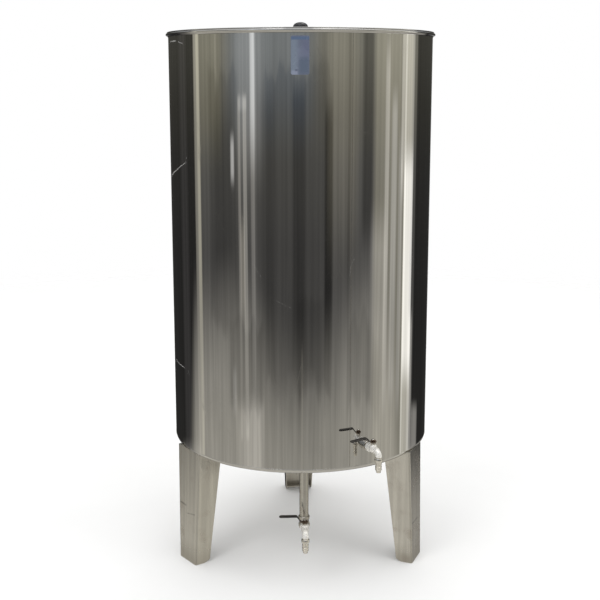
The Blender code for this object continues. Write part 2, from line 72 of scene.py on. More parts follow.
def angle(name, description, degrees):
    return bpy.props.FloatProperty(name=name, description=description,
                                   default=math.radians(degrees), unit="ROTATION")


def colour(name, description, default):
    return bpy.props.FloatVectorProperty(name=name, description=description, default=default,
                                         size=3, min=0, max=1, subtype="COLOR")


def amount(name, description, default, high, unit="NONE"):
    return bpy.props.FloatProperty(name=name, description=description, default=default,
                                   min=-high, max=high, unit=unit)


class TankSizes(bpy.types.PropertyGroup):
    """Sizes of the vessel, its legs and its taps."""
    sheet: length("Wall Sheet", "Thickness of the rolled wall", 0.0015)
    bottom_sheet: length("Bottom Sheet", "Thickness of the bottom and its ring", 0.002)
    knuckle: length("Knuckle", "Radius of the ring under the wall", RING_HIGH.z - RING_LOW.z)
    wave: length("Wall Wave", "How far the rolled wall departs from round", 0.00016)
    rim_nose: length("Rim Nose", "Radius of the rim's outer edge", 0.0036)
    rim_drop: length("Rim Drop", "Height of the rim and its flare", RIM_HIGH.z - RIM_LOW.z)
    rim_seat: length("Rim Seat", "Depth at which the rim meets the wall", RIM_HIGH.z - WALL_HIGH.z)
    seam_azimuth: angle("Seam Azimuth", "Where the wall's upright weld lies", 20.8)
    seam_width: length("Seam Width", "Width of the wall's upright weld", 0.0016)
    leg_sheet: length("Leg Sheet", "Thickness of the folded legs", 0.0025)
    leg_bend: length("Leg Bend", "Outer radius of the legs' folds", 0.0045)
    grip_thickness: length("Grip Thickness", "Thickness of the levers' sleeves", 0.0043)
    sticker_width: length("Sticker Width", "Width of the plain sticker", 0.0475)
    sticker_height: length("Sticker Height", "Height of the plain sticker", 0.098)


class TankColours(bpy.types.PropertyGroup):
    """Colours of the finishes."""
    polished: colour("Polished Steel", "Colour of the wall, rim and lid", (0.62, 0.61, 0.59))
    satin: colour("Satin Steel", "Colour of the legs and the drain pipe", (0.66, 0.64, 0.59))
    nickel: colour("Nickel Plate", "Colour of the taps' turned parts", (0.88, 0.85, 0.79))
    cast: colour("Cast Nickel", "Colour of the tap bodies and spouts", (0.86, 0.84, 0.79))
    vinyl: colour("Vinyl", "Colour of the lever sleeves", (0.020, 0.018, 0.016))
    knob: colour("Knob", "Colour of the moulded knob", (0.013, 0.013, 0.015))
    zinc: colour("Yellow Zinc", "Colour of the lever straps and nuts", (0.25, 0.19, 0.145))
    sticker: colour("Sticker", "Colour of the sticker's film", (0.085, 0.098, 0.140))
    sticker_bar: colour("Sticker Bar", "Colour of the sticker's bar", (0.062, 0.092, 0.155))


class TankStudio(bpy.types.PropertyGroup):
    """Camera, lights and floor."""
    eye_height: length("Eye Height", "Height of the camera above the floor", 1.399)
    eye_distance: length("Eye Distance", "Distance of the camera from the tank's axis", 3.110)
    pitch: angle("Pitch", "How far the camera looks down", 9.987)
    focal_length: amount("Focal Length", "Focal length on a 36 mm sensor", 63.17, 500, "CAMERA")
    rise: amount("Rise", "Vertical lens shift", -0.06, 1)
    key_power: amount("Key Power", "Power of the large soft light", 30, 2000, "POWER")
    fill_power: amount("Fill Power", "Power of the side and back lights", 15, 2000, "POWER")
    ambient: amount("Ambient", "Strength of the even light from all round", 1.15, 10)
    floor_radius: length("Floor Radius", "Radius of the pale floor", 5.0)


# Meshes
def arc(center, radius, start, end, steps):
    """Points on an arc, angles in degrees, both ends included."""
    turns = [math.radians(start + (end - start) * i / steps) for i in range(steps + 1)]
    return [(center[0] + radius * math.cos(a), center[1] + radius * math.sin(a)) for a in turns]


def only(kind, items):
    """The items of one bmesh kind."""
    return [item for item in items if isinstance(item, kind)]


def corners(items):
    return only(bmesh.types.BMVert, items)


def lines(items):
    return only(bmesh.types.BMEdge, items)


def turn(shape, points, steps, closed=True, place=None):
    """Spin a line of (radius, z) points a full turn about Z, then put it in place."""
    before = set(shape.verts)
    verts = [shape.verts.new((r, 0, z)) for r, z in points]
    edges = [shape.edges.new(pair) for pair in zip(verts, verts[1:])]
    if closed:
        edges.append(shape.edges.new((verts[-1], verts[0])))
    bmesh.ops.spin(shape, geom=verts + edges, cent=(0, 0, 0), axis=(0, 0, 1), angle=math.tau,
                   steps=steps, use_merge=True)
    bmesh.ops.remove_doubles(shape, verts=[v for v in shape.verts if v not in before], dist=MERGE)
    made = [v for v in shape.verts if v not in before]
    if place is not None:
        bmesh.ops.transform(shape, matrix=place, verts=made)
    return made


def finish_mesh(shape, name, sharp, place):
    """Tidy a bmesh, point it outwards, put it in place and shade it, and return it as a mesh."""
    bmesh.ops.dissolve_degenerate(shape, dist=0.0000005, edges=shape.edges)
    bmesh.ops.recalc_face_normals(shape, faces=shape.faces)
    shape.transform(place)
    mesh = bpy.data.meshes.new(name)
    shape.to_mesh(mesh)
    shape.free()
    mesh.shade_smooth()
    mesh.set_sharp_from_angle(angle=math.radians(sharp))
    return mesh


def add_object(name, data):
    item = bpy.data.objects.new(name, data)
    bpy.context.scene.collection.objects.link(item)
    return item


def add_piece(name, shape, body, slot, stands_for=(), place=AXIS, sharp=35, finish=None):
    """Make a bmesh a piece that rides on its body, in its slot's own finish or in another."""
    mesh = finish_mesh(shape, name, sharp, place)
    item = add_object(name, mesh)
    mesh.materials.append(finishes()[finish or slot])
    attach(item, body)
    if stands_for:
        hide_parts(*stands_for)
    return item


def turned_piece(name, points, steps, body, slot, stands_for, place=AXIS, sharp=35, closed=True,
                 finish=None):
    """A piece that is one line of (radius, z) points, spun."""
    shape = bmesh.new()
    turn(shape, points, steps, closed)
    add_piece(name, shape, body, slot, stands_for, place, sharp, finish)


def soften(item, width):
    """Round a piece's sharp edges a little."""
    modifier = item.modifiers.new("edges", "BEVEL")
    modifier.width = width
    modifier.segments = 2
    modifier.limit_method = "ANGLE"
    modifier.angle_limit = math.radians(50)
    modifier.harden_normals = True


def cut_rings(shape, edges, cuts):
    """Cut the long edges between two ends that lie a unit apart in Z."""
    upright = [e for e in edges if abs(e.verts[0].co.z - e.verts[1].co.z) > 0.5]
    bmesh.ops.subdivide_edges(shape, edges=upright, cuts=cuts, use_grid_fill=True)


def folded_grid(columns, rows, layers, path):
    """A closed slab of cells, each corner moved to path(u, v, t), all three from 0 to 1."""
    shape = bmesh.new()
    bmesh.ops.create_grid(shape, x_segments=columns, y_segments=rows, size=0.5)
    made = bmesh.ops.extrude_face_region(shape, geom=list(shape.faces))["geom"]
    bmesh.ops.translate(shape, vec=(0, 0, 1), verts=corners(made))
    if layers > 1:
        cut_rings(shape, shape.edges, layers - 1)
    for vert in shape.verts:
        vert.co = Vector(path(vert.co.x + 0.5, vert.co.y + 0.5, vert.co.z))
    return shape


def shaped_bar(shape, segments, rings, path):
    """A capped bar, each corner moved to path(share of its length, x, y), x, y on a unit circle."""
    before = set(shape.verts)
    bmesh.ops.create_cone(shape, cap_ends=True, segments=segments, radius1=1, radius2=1, depth=1)
    made = [v for v in shape.verts if v not in before]
    cut_rings(shape, {e for v in made for e in v.link_edges}, rings - 1)
    for vert in shape.verts:
        if vert not in before:
            vert.co = Vector(path(vert.co.z + 0.5, vert.co.x, vert.co.y))


def weld_run(shape, line, radius, rings=40):
    """A thin run of weld metal along line(share), slightly rippled."""
    def lay(u, x, y):
        spot = Vector(line(u))
        ahead, behind = Vector(line(min(1, u + 0.02))), Vector(line(max(0, u - 0.02)))
        along = (ahead - behind).normalized()
        side = along.cross(Vector((0, 0, 1))).normalized()
        size = radius * (1 + 0.15 * noise.noise(spot * 300))
        return spot + side * x * size + side.cross(along) * y * size

    shaped_bar(shape, 10, rings, lay)


def pipe_bend(shape, radius, inlet, bend, outlet, place, segments=40, steps=14):
    """A capped round bar that runs along +X, turns down and runs along -Z."""
    before = set(shape.verts)
    ring = bmesh.ops.create_circle(shape, cap_ends=True, segments=segments, radius=radius,
                                   matrix=Matrix.Rotation(RIGHT_ANGLE, 4, "Y"))["verts"]

    def pull(edges, move):
        made = bmesh.ops.extrude_edge_only(shape, edges=edges)["geom"]
        bmesh.ops.translate(shape, vec=move, verts=corners(made))
        return lines(made)

    edges = pull([e for e in {e for v in ring for e in v.link_edges} if e.is_boundary],
                 (inlet, 0, 0))
    made = bmesh.ops.spin(shape, geom=edges, cent=(inlet, 0, -bend), axis=(0, 1, 0),
                          angle=RIGHT_ANGLE, steps=steps)["geom_last"]
    bmesh.ops.contextual_create(shape, geom=pull(lines(made), (0, 0, -outlet)))
    bmesh.ops.remove_doubles(shape, verts=[v for v in shape.verts if v not in before], dist=MERGE)
    made = [v for v in shape.verts if v not in before]
    bmesh.ops.transform(shape, matrix=place, verts=made)


def hexagon(shape, flats, low, high, bore):
    """A nut with its corners turned off, bored through, along Z."""
    inner = flats / 2
    face, far = inner * 0.94, inner * 4
    verts = turn(shape, [(bore, low), (face, low), (far, low), (far, high), (face, high),
                         (bore, high)], 48)
    middle = (low + high) / 2
    for vert in verts:
        reach = math.hypot(vert.co.x, vert.co.y)
        if reach < far * 0.9:
            continue
        swing = (math.degrees(math.atan2(vert.co.y, vert.co.x)) + 30) % 60 - 30
        across = inner / math.cos(math.radians(swing))
        chamfer = (across - face) * math.tan(math.radians(26))
        widen(vert, across / reach)
        vert.co.z += chamfer if vert.co.z < middle else -chamfer


def widen(vert, factor):
    """Move a point out from Z by a factor."""
    vert.co.x *= factor
    vert.co.y *= factor


def around(azimuth, radius, z):
    """A point at an azimuth from the front, in degrees, before the axis is put in place."""
    a = math.radians(azimuth)
    return Vector((radius * math.sin(a), -radius * math.cos(a), z))


def heading(azimuth):
    """Turns local +X outwards at an azimuth from the front."""
    return Matrix.Rotation(math.radians(azimuth - 90), 4, "Z")


def wall_wave(spot, wave):
    """How far the rolled wall stands off its true circle at a point on it."""
    height = (spot.z - WALL_LOW.z) / (WALL_HIGH.z - WALL_LOW.z)
    hold = max(0.0, min(1.0, 12 * height, 12 * (1 - height)))
    side = Vector((spot.x, spot.y, 0)) / WALL_RADIUS
    slow = noise.noise(side * 3.1 + Vector((7.3, 2.1, spot.z * 1.6)))
    quick = noise.noise(side * 8.5 + Vector((1.7, 4.4, spot.z * 2.2)))
    return wave * hold * (slow + 0.3 * quick)


# Materials
class Nodes:
    """A node tree under construction, with short ways to add and join nodes."""

    def __init__(self, tree):
        self.tree = tree

    def feed(self, socket, value):
        if isinstance(value, bpy.types.NodeSocket):
            self.tree.links.new(value, socket)
        elif socket.type == "RGBA":
            socket.default_value = (*value[:3], 1)
        else:
            socket.default_value = value

    def add(self, kind, *values, **settings):
        """Add a node, change its settings and fill its first inputs in order."""
        node = self.tree.nodes.new("ShaderNode" + kind)
        for name, value in settings.items():
            setattr(node, name, value)
        for socket, value in zip(node.inputs, values):
            self.feed(socket, value)
        return node

    def math(self, operation, *values, clamp=False):
        return self.add("Math", *values, operation=operation, use_clamp=clamp).outputs[0]

    def times(self, first, second):
        return self.math("MULTIPLY", first, second)

    def gain(self, value, factor, base):
        """value x factor + base"""
        return self.math("MULTIPLY_ADD", value, factor, base)

    def vector(self, operation, *values, output=0):
        return self.add("VectorMath", *values, operation=operation).outputs[output]

    def range(self, value, low, high, start=0.0, end=1.0, smooth=False):
        """Map start..end of a value onto low..high."""
        kind = "SMOOTHSTEP" if smooth else "LINEAR"
        node = self.add("MapRange", value, start, end, low, high, interpolation_type=kind)
        return node.outputs[0]

    def noise(self, vector, scale, detail=2.0):
        node = self.add("TexNoise", vector)
        self.feed(node.inputs["Scale"], scale)
        self.feed(node.inputs["Detail"], detail)
        return node.outputs[0]

    def join(self, *values):
        return self.add("CombineXYZ", *values).outputs[0]

    def split(self, vector):
        return self.add("SeparateXYZ", vector).outputs

    def mix(self, factor, first, second):
        """Blend two colours, each a socket or three numbers."""
        node = self.add("Mix", factor, data_type="RGBA")
        self.feed(node.inputs[6], first)
        self.feed(node.inputs[7], second)
        return node.outputs[2]

    def ramp(self, value, stops):
        """A run of colours, each stop (value, colour)."""
        start, end = stops[0][0], stops[-1][0]
        node = self.add("ValToRGB", self.range(value, 0, 1, start, end))
        bar = node.color_ramp.elements
        while len(bar) < len(stops):
            bar.new(0.5)
        for element, (level, tone) in zip(bar, stops):
            element.position = (level - start) / (end - start)
            element.color = (*tone, 1)
        return node.outputs[0]

    def effect(self, name, vector, **inputs):
        """Add one of the shared effects."""
        node = self.add("Group", node_tree=effects()[name])
        self.feed(node.inputs["Vector"], vector)
        for socket, value in inputs.items():
            self.feed(node.inputs[socket], value)
        return node.outputs[0]

    def strip(self, spot, numbers):
        """Add a soft strip from its numbers, in the order of the strip's inputs."""
        return self.effect("strip", spot, **dict(zip(STRIP_INPUTS, numbers)))


class Paint(Nodes):
    """A material: its shader, and the effects that feed it from the object's own coordinates."""

    def __init__(self, name, metallic=0.0):
        self.material = bpy.data.materials.new(name)
        self.material.use_nodes = True
        super().__init__(self.material.node_tree)
        self.shader = self.tree.nodes["Principled BSDF"]
        self.set("Metallic", metallic)
        self.place = self.add("TexCoord").outputs["Object"]

    def set(self, socket, value):
        self.feed(self.shader.inputs[socket], value)

    def smudges(self, scale, start, end):
        return self.effect("smudges", self.place, Scale=scale, Start=start, End=end)

    def streaks(self, across, along, detail):
        return self.effect("streaks", self.place, Across=across, Along=along, Detail=detail)

    def worn(self, marks):
        """The strongest of some marks, broken up along their length."""
        strongest = marks[0]
        for mark in marks[1:]:
            strongest = self.math("MAXIMUM", strongest, mark)
        broken = self.range(self.noise(self.place, 160.0), 0.25, 1.0, 0.38, 0.58)
        return self.times(strongest, broken)

    def brushed(self, shade, tone, mask):
        """A shade drawn darker and lighter by fine lines."""
        dark, light = [self.mix(0.5, shade, scaled(tone, share)) for share in (0.90, 1.10)]
        return self.mix(mask, dark, light)

    def bump(self, height, strength, distance):
        node = self.add("Bump")
        for name, value in (("Strength", strength), ("Distance", distance), ("Height", height)):
            self.feed(node.inputs[name], value)
        self.set("Normal", node.outputs["Normal"])


def start_effect(name, **inputs):
    """Start a node group that turns a place and some numbers into a value."""
    tree = bpy.data.node_groups.new(name, "ShaderNodeTree")
    tree.interface.new_socket("Vector", in_out="INPUT", socket_type="NodeSocketVector")
    for name, value in inputs.items():
        kind = "NodeSocketVector" if isinstance(value, tuple) else "NodeSocketFloat"
        socket = tree.interface.new_socket(name, in_out="INPUT", socket_type=kind)
        socket.default_value = value
    tree.interface.new_socket("Value", in_out="OUTPUT", socket_type="NodeSocketFloat")
    return Nodes(tree), tree.nodes.new("NodeGroupInput").outputs


def end_effect(nodes, value):
    nodes.feed(nodes.tree.nodes.new("NodeGroupOutput").inputs[0], value)
    return nodes.tree


def streaks_effect():
    """Fine upright lines, as rolling and brushing leave."""
    nodes, given = start_effect("Upright Streaks", Across=120.0, Along=2.0, Detail=3.0)
    scale = nodes.join(given["Across"], given["Across"], given["Along"])
    cloud = nodes.noise(nodes.vector("MULTIPLY", given["Vector"], scale), 1.0, given["Detail"])
    return end_effect(nodes, cloud)


def smudge_effect():
    """Soft patches, 0 to 1, from hands, water and dust."""
    nodes, given = start_effect("Smudges", Scale=9.0, Start=0.5, End=0.72)
    cloud = nodes.noise(given["Vector"], given["Scale"], 5.0)
    patches = nodes.range(cloud, 0.0, 1.0, given["Start"], given["End"], smooth=True)
    return end_effect(nodes, patches)


def scratch_effect():
    """Thin broken lines at all angles, 0 to 1."""
    nodes, given = start_effect("Scratches", Scale=14.0, Width=0.012)
    stretched = nodes.vector("MULTIPLY", given["Vector"], (1.0, 1.0, 0.45))
    cells = nodes.add("TexVoronoi", stretched, feature="DISTANCE_TO_EDGE")
    nodes.feed(cells.inputs["Scale"], given["Scale"])
    line = nodes.range(cells.outputs["Distance"], 1.0, 0.0, 0.0, given["Width"])
    broken = nodes.range(nodes.noise(given["Vector"], 7.0), 0.0, 1.0, 0.56, 0.66)
    return end_effect(nodes, nodes.times(line, broken))


def stroke_effect():
    """Nearness to a straight mark between two points, 0 to its strength."""
    nodes, given = start_effect("Stroke", Start=(0.0, 0.0, 0.0), End=(1.0, 0.0, 0.0),
                                Width=0.001, Strength=1.0)
    reach = nodes.vector("SUBTRACT", given["End"], given["Start"])
    away = nodes.vector("SUBTRACT", given["Vector"], given["Start"])
    share = nodes.math("DIVIDE", nodes.vector("DOT_PRODUCT", away, reach, output=1),
                       nodes.vector("DOT_PRODUCT", reach, reach, output=1), clamp=True)
    nearest = nodes.vector("MULTIPLY", reach, share)
    near = nodes.vector("DISTANCE", away, nearest, output=1)
    line = nodes.range(near, 1.0, 0.0, 0.0, given["Width"], smooth=True)
    return end_effect(nodes, nodes.times(line, given["Strength"]))


def low_dust_effect():
    """Rises from 0 at Height to 1 at the floor, with an uneven upper edge."""
    nodes, given = start_effect("Low Dust", Height=0.2)
    edge = nodes.gain(nodes.noise(given["Vector"], 22.0, 4.0), given["Height"], given["Height"])
    height = nodes.split(given["Vector"])[2]
    return end_effect(nodes, nodes.range(height, 1.0, 0.0, 0.0, edge, smooth=True))


STRIP_INPUTS = ("Center", "Half", "Edge", "Low", "High", "Fade", "Strength")


def strip_effect():
    """How much a soft-edged upright strip covers; the place is (across, height, -)."""
    nodes, given = start_effect("Soft Strip", **dict.fromkeys(STRIP_INPUTS, 1.0))
    across, height, _ = nodes.split(given["Vector"])
    away = nodes.math("ABSOLUTE", nodes.math("SUBTRACT", across, given["Center"]))
    side = nodes.math("ADD", given["Half"], given["Edge"])
    under = nodes.math("SUBTRACT", given["Low"], given["Fade"])
    over = nodes.math("ADD", given["High"], given["Fade"])
    wide = nodes.range(away, 1.0, 0.0, given["Half"], side, smooth=True)
    above = nodes.range(height, 0.0, 1.0, under, given["Low"], smooth=True)
    below = nodes.range(height, 1.0, 0.0, given["High"], over, smooth=True)
    cover = nodes.times(nodes.times(wide, above), below)
    return end_effect(nodes, nodes.times(cover, given["Strength"]))


EFFECTS = {}


def effects():
    """The shared node groups by name, built once."""
    if not EFFECTS:
        EFFECTS.update(streaks=streaks_effect(), smudges=smudge_effect(),
                       scratches=scratch_effect(), stroke=stroke_effect(),
                       dust=low_dust_effect(), strip=strip_effect())
    return EFFECTS


def scaled(tone, factor):
    """A colour made lighter or darker."""
    return [min(1.0, c * factor) for c in tone]


# Marks on the wall: (azimuth, height) of both ends, width, strength
WALL_MARKS = (
    ((-72.9, 1.5010), (-64.0, 1.5005), 0.0028, 1.0),
    ((-61.0, 1.4975), (-57.0, 1.4925), 0.0020, 0.7),
    ((-79.0, 1.1180), (-67.5, 1.1440), 0.0036, 1.0),
    ((-67.0, 1.1440), (-57.0, 1.1700), 0.0024, 0.8),
    ((-56.2, 1.1660), (-55.6, 1.1860), 0.0014, 0.5),
    ((-75.0, 0.5830), (-61.0, 0.5810), 0.0024, 0.9),
    ((-57.5, 0.5780), (-57.0, 0.5660), 0.0014, 0.4),
    ((-19.5, 0.9140), (-16.1, 0.8810), 0.0022, 0.10),
    ((-10.7, 0.8200), (-3.8, 0.8000), 0.0022, 0.08),
    ((20.1, 0.8840), (21.0, 0.9160), 0.0024, 0.12),
    ((21.0, 0.9160), (22.3, 0.9290), 0.0020, 0.10),
)


def wall_marks(paint, turned, height):
    """The marks on the wall, laid on its unrolled surface."""
    unrolled = paint.join(paint.times(turned, WALL_RADIUS), height, 0.0)
    marks = []
    for *ends, width, strength in WALL_MARKS:
        start, end = [(math.radians(azimuth) * WALL_RADIUS, z, 0.0) for azimuth, z in ends]
        marks.append(paint.effect("stroke", unrolled, Start=start, End=end, Width=width,
                                  Strength=strength))
    return paint.worn(marks)


def inside_vessel(paint, reach, z, sizes):
    """1 on the faces inside the wall, the bottom and the lid, 0 outside."""
    out = paint.math("MAXIMUM", paint.math("SUBTRACT", reach, WALL_RADIUS - sizes.knuckle), 0)
    down = paint.math("MAXIMUM", paint.math("SUBTRACT", BOTTOM + sizes.knuckle, z), 0)
    away = paint.vector("LENGTH", paint.join(out, down, 0.0), output=1)
    within = paint.math("LESS_THAN", away, sizes.knuckle - sizes.bottom_sheet / 2)
    return paint.times(within, paint.math("LESS_THAN", z, RIM_HIGH.z + 2 * GAP))


def polished_steel(colours, sizes):
    """Bright rolled sheet: nearly a mirror, with roll lines, smudges and marks; dull inside."""
    tone = colours.polished
    paint = Paint("polished steel")
    roll_lines = paint.streaks(150.0, 1.0, 4.0)
    broad = paint.streaks(16.0, 0.7, 2.0)
    smudges = paint.smudges(7.0, 0.52, 0.76)
    scratches = paint.effect("scratches", paint.place, Scale=11.0, Width=0.008)
    x, y, z = paint.split(paint.place)
    ahead = paint.math("SUBTRACT", AXIS_Y, y)
    marks = wall_marks(paint, paint.math("ARCTAN2", x, ahead), z)
    reach = paint.vector("LENGTH", paint.join(x, ahead, 0.0), output=1)
    inside = inside_vessel(paint, reach, z, sizes)
    rough = paint.gain(roll_lines, 0.03, 0.020)
    for mask, more in ((smudges, 0.05), (scratches, 0.10), (inside, 0.22), (marks, 0.35)):
        rough = paint.gain(mask, more, rough)
    paint.set("Roughness", rough)
    paint.set("Metallic", paint.gain(marks, -0.55, paint.gain(inside, -0.45, 1.0)))
    shade = paint.mix(broad, scaled(tone, 0.92), scaled(tone, 1.07))
    shade = paint.brushed(shade, tone, roll_lines)
    paint.set("Base Color", paint.mix(smudges, shade, scaled(tone, 0.95)))
    paint.bump(paint.gain(roll_lines, 0.3, broad), 0.08, 0.00030)
    return paint.material


# Marks on the legs, on their webs: (leg, (across, height) of both ends, width)
LEG_MARKS = (
    ("left", (-0.0431, 0.1697), (-0.0121, 0.1676), 0.0042),
    ("left", (-0.0035, 0.1459), (0.0351, 0.1529), 0.0030),
    ("right", (-0.0402, 0.1213), (0.0167, 0.1200), 0.0034),
)


def leg_marks(paint):
    """The rub marks on the legs."""
    marks = []
    for side, *ends, width in LEG_MARKS:
        start, end = [tuple(leg_place(side) @ Vector((leg_lean(z), y, z))) for y, z in ends]
        marks.append(paint.effect("stroke", paint.place, Start=start, End=end, Width=width))
    return paint.worn(marks)


def satin_steel(colours):
    """Semi-bright folded sheet: soft upright lines, broad upright bands of painted reflected light
    and shade, rub marks, a little dust near the floor.
    """
    tone, stain, dust_tone = colours.satin, (0.50, 0.43, 0.36), (0.36, 0.32, 0.26)
    paint = Paint("satin steel", 1.0)
    grain = paint.streaks(260.0, 4.0, 3.0)
    broad = paint.streaks(70.0, 1.5, 2.0)
    reflected_light_bands = paint.range(broad, 0.0, 1.0, 0.32, 0.68, smooth=True)
    smudges = paint.smudges(18.0, 0.48, 0.72)
    dust = paint.effect("dust", paint.place, Height=0.05)
    rough = paint.gain(dust, 0.12, paint.gain(grain, 0.08, 0.18))
    paint.set("Roughness", paint.gain(smudges, 0.10, rough))
    # painted reflection: broad bands lighten and darken the base colour as reflected light and
    # shade would
    shade = paint.mix(reflected_light_bands, scaled(tone, 0.84), scaled(tone, 1.16))
    shade = paint.brushed(shade, tone, grain)
    shade = paint.mix(paint.times(smudges, 0.35), shade, stain)
    shade = paint.mix(paint.times(leg_marks(paint), 0.8), shade, scaled(tone, 0.28))
    paint.set("Base Color", paint.mix(paint.times(dust, 0.35), shade, dust_tone))
    paint.bump(paint.gain(grain, 0.08, broad), 0.25, 0.0006)
    return paint.material


def patchy(name, metallic, tone, patches, worn, gain, base):
    """Start a finish whose soft patches have their own colour and roughness."""
    paint = Paint(name, metallic)
    patch = paint.smudges(*patches)
    paint.set("Roughness", paint.gain(patch, gain, base))
    paint.set("Base Color", paint.mix(patch, tone, worn))
    return paint, patch


def plated(name, tone, metallic, smooth):
    """Plated castings and fittings: slightly pebbled, duller in places."""
    patches = (120.0, 0.45, 0.70)
    paint, _ = patchy(name, metallic, tone, patches, scaled(tone, 0.86), 0.16, smooth)
    paint.bump(paint.smudges(900.0, 0.35, 0.65), 0.10, 0.0001)
    return paint.material


def nickel_plate(colours):
    """Turned fittings: bright plate."""
    return plated("nickel plate", colours.nickel, 1.0, 0.15)


def cast_nickel(colours):
    """Tap bodies: plate over a rough casting, whiter and duller."""
    return plated("cast nickel", colours.cast, 0.45, 0.24)


def weld_steel(colours):
    """Weld metal, ground nearly flat: darker and duller than the sheet, unevenly toned."""
    tone, heated = scaled(colours.polished, 0.78), (0.42, 0.39, 0.34)
    paint, _ = patchy("weld steel", 1.0, tone, (60.0, 0.40, 0.70), heated, 0.12, 0.14)
    paint.bump(paint.streaks(300.0, 300.0, 2.0), 0.06, 0.0002)
    return paint.material


def black_vinyl(colours):
    """Dipped sleeves: semi-matt with a fine grain, shinier where hands rub."""
    tone, patches = colours.vinyl, (90.0, 0.42, 0.68)
    paint, _ = patchy("black vinyl", 0.0, tone, patches, scaled(tone, 1.8), -0.14, 0.46)
    paint.set("Specular IOR Level", 0.25)
    paint.bump(paint.smudges(1600.0, 0.30, 0.70), 0.15, 0.00008)
    return paint.material


def black_knob(colours):
    """Moulded knob: glossy with handling haze."""
    tone, patches = colours.knob, (110.0, 0.42, 0.70)
    paint, haze = patchy("black knob", 0.0, tone, patches, scaled(tone, 2.5), 0.20, 0.20)
    paint.bump(haze, 0.05, 0.0001)
    return paint.material


def yellow_zinc(colours):
    """Passivated straps and nuts: brownish gold, unevenly toned."""
    tone, patches = colours.zinc, (200.0, 0.35, 0.70)
    paint, uneven = patchy("yellow zinc", 1.0, tone, patches, scaled(tone, 0.62), 0.18, 0.26)
    paint.bump(uneven, 0.08, 0.0001)
    return paint.material


STICKER_TOP = 1.507
STICKER_AZIMUTH = -0.20
# The sticker's printed bar, and its painted reflections: patches of reflected light and shade seen
# through the film. Each is (middle across, half, edge, start down, end down, fade, strength), with
# each patch's colour. Across runs -0.5 to 0.5 of its width and down 0 to 1 of its height.
STICKER_BAR = (0, 0.47, 0.02, 0.035, 0.10, 0.012, 1.0)
STICKER_PAINTED_REFLECTIONS = (
    ((-0.34, 0.04, 0.34, 0.12, 1.0, 0.10, 0.60), (0.135, 0.168, 0.208)),
    ((0.34, 0.06, 0.30, 0.15, 0.60, 0.16, 0.45), (0.080, 0.088, 0.145)),
    ((0.22, 0.14, 0.26, 0.62, 0.88, 0.16, 0.60), (0.056, 0.080, 0.115)),
    ((-0.30, 0.10, 0.14, 0.92, 1.0, 0.05, 0.50), (0.200, 0.215, 0.290)),
    ((-0.20, 0.03, 0.06, 0.87, 0.90, 0.02, 0.60), (0.045, 0.050, 0.085)),
)


def sticker_film(colours, sizes):
    """A plain printed film: a printed bar across its top over painted reflections of light and
    shade, under clear gloss.
    """
    paint = Paint("sticker film")
    x, _, z = paint.split(paint.place)
    middle = around(STICKER_AZIMUTH, WALL_RADIUS, 0).x
    across = paint.math("DIVIDE", paint.math("SUBTRACT", x, middle), sizes.sticker_width)
    down = paint.math("DIVIDE", paint.math("SUBTRACT", STICKER_TOP, z), sizes.sticker_height)
    spot = paint.join(across, down, 0.0)
    fade = paint.smudges(28.0, 0.35, 0.75)
    film = paint.mix(fade, colours.sticker, scaled(colours.sticker, 1.2))
    # painted reflection: patches of reflected light and shade are laid on the film's colour, then
    # the printed bar over them
    for numbers, tone in (*STICKER_PAINTED_REFLECTIONS, (STICKER_BAR, colours.sticker_bar)):
        film = paint.mix(paint.strip(spot, numbers), film, tone)
    paint.set("Base Color", film)
    paint.set("Roughness", paint.gain(fade, 0.12, 0.22))
    paint.bump(fade, 0.05, 0.0002)
    paint.set("Coat Weight", 0.4)
    paint.set("Coat Roughness", 0.08)
    return paint.material


FINISHES = {}


def finishes():
    """The materials by name, made once from the scene's colours and sizes."""
    if not FINISHES:
        scene = bpy.context.scene
        for make in (satin_steel, nickel_plate, cast_nickel, weld_steel, black_vinyl, black_knob,
                     yellow_zinc):
            FINISHES[make.__name__] = make(scene.tank_colours)
        for make in (polished_steel, sticker_film):
            FINISHES[make.__name__] = make(scene.tank_colours, scene.tank_sizes)
    return FINISHES


# Vessel
WALL_STEPS = 288
WALL_ROWS = 64


def build_wall(sizes):
    """The rolled wall, very slightly wavy as rolled sheet is."""
    outer, inner = WALL_RADIUS, WALL_RADIUS - sizes.sheet
    low, high = WALL_LOW.z, WALL_HIGH.z
    climb = [(outer, low + (high - low) * i / WALL_ROWS) for i in range(WALL_ROWS + 1)]
    shape = bmesh.new()
    for vert in turn(shape, climb + [(inner, high), (inner, low)], WALL_STEPS):
        reach = math.hypot(vert.co.x, vert.co.y)
        if reach > outer - sizes.sheet / 2:
            widen(vert, 1 + wall_wave(vert.co, sizes.wave) / reach)
    add_piece("rolled_wall", shape, "tank", "polished_steel", ["shell"], sharp=40)


def build_rim(sizes):
    """The rolled edge: round inside, a full nose, then a flare back to the wall."""
    inner, top, nose = WALL_RADIUS - sizes.sheet, RIM_HIGH.z, sizes.rim_nose
    inner_round, flare_foot, flare_steps = 0.0022, 0.0010, 8
    line = arc((inner + inner_round, top - inner_round), inner_round, 180, 90, 5)
    line += arc((RIM_HIGH.x - nose, top - nose), nose, 90, -60, 16)
    start, end = line[-1], (WALL_RADIUS + flare_foot, top - sizes.rim_drop)
    for i in range(1, flare_steps + 1):
        share = i / flare_steps
        line.append((end[0] + (start[0] - end[0]) * (1 - share) ** 3,
                     start[1] + (end[1] - start[1]) * share))
    seat = top - sizes.rim_seat + GAP
    line += [(WALL_RADIUS + GAP, end[1]), (WALL_RADIUS + GAP, seat), (inner, seat)]
    turned_piece("rolled_rim", line, WALL_STEPS, "tank", "polished_steel", ["top_rim"])


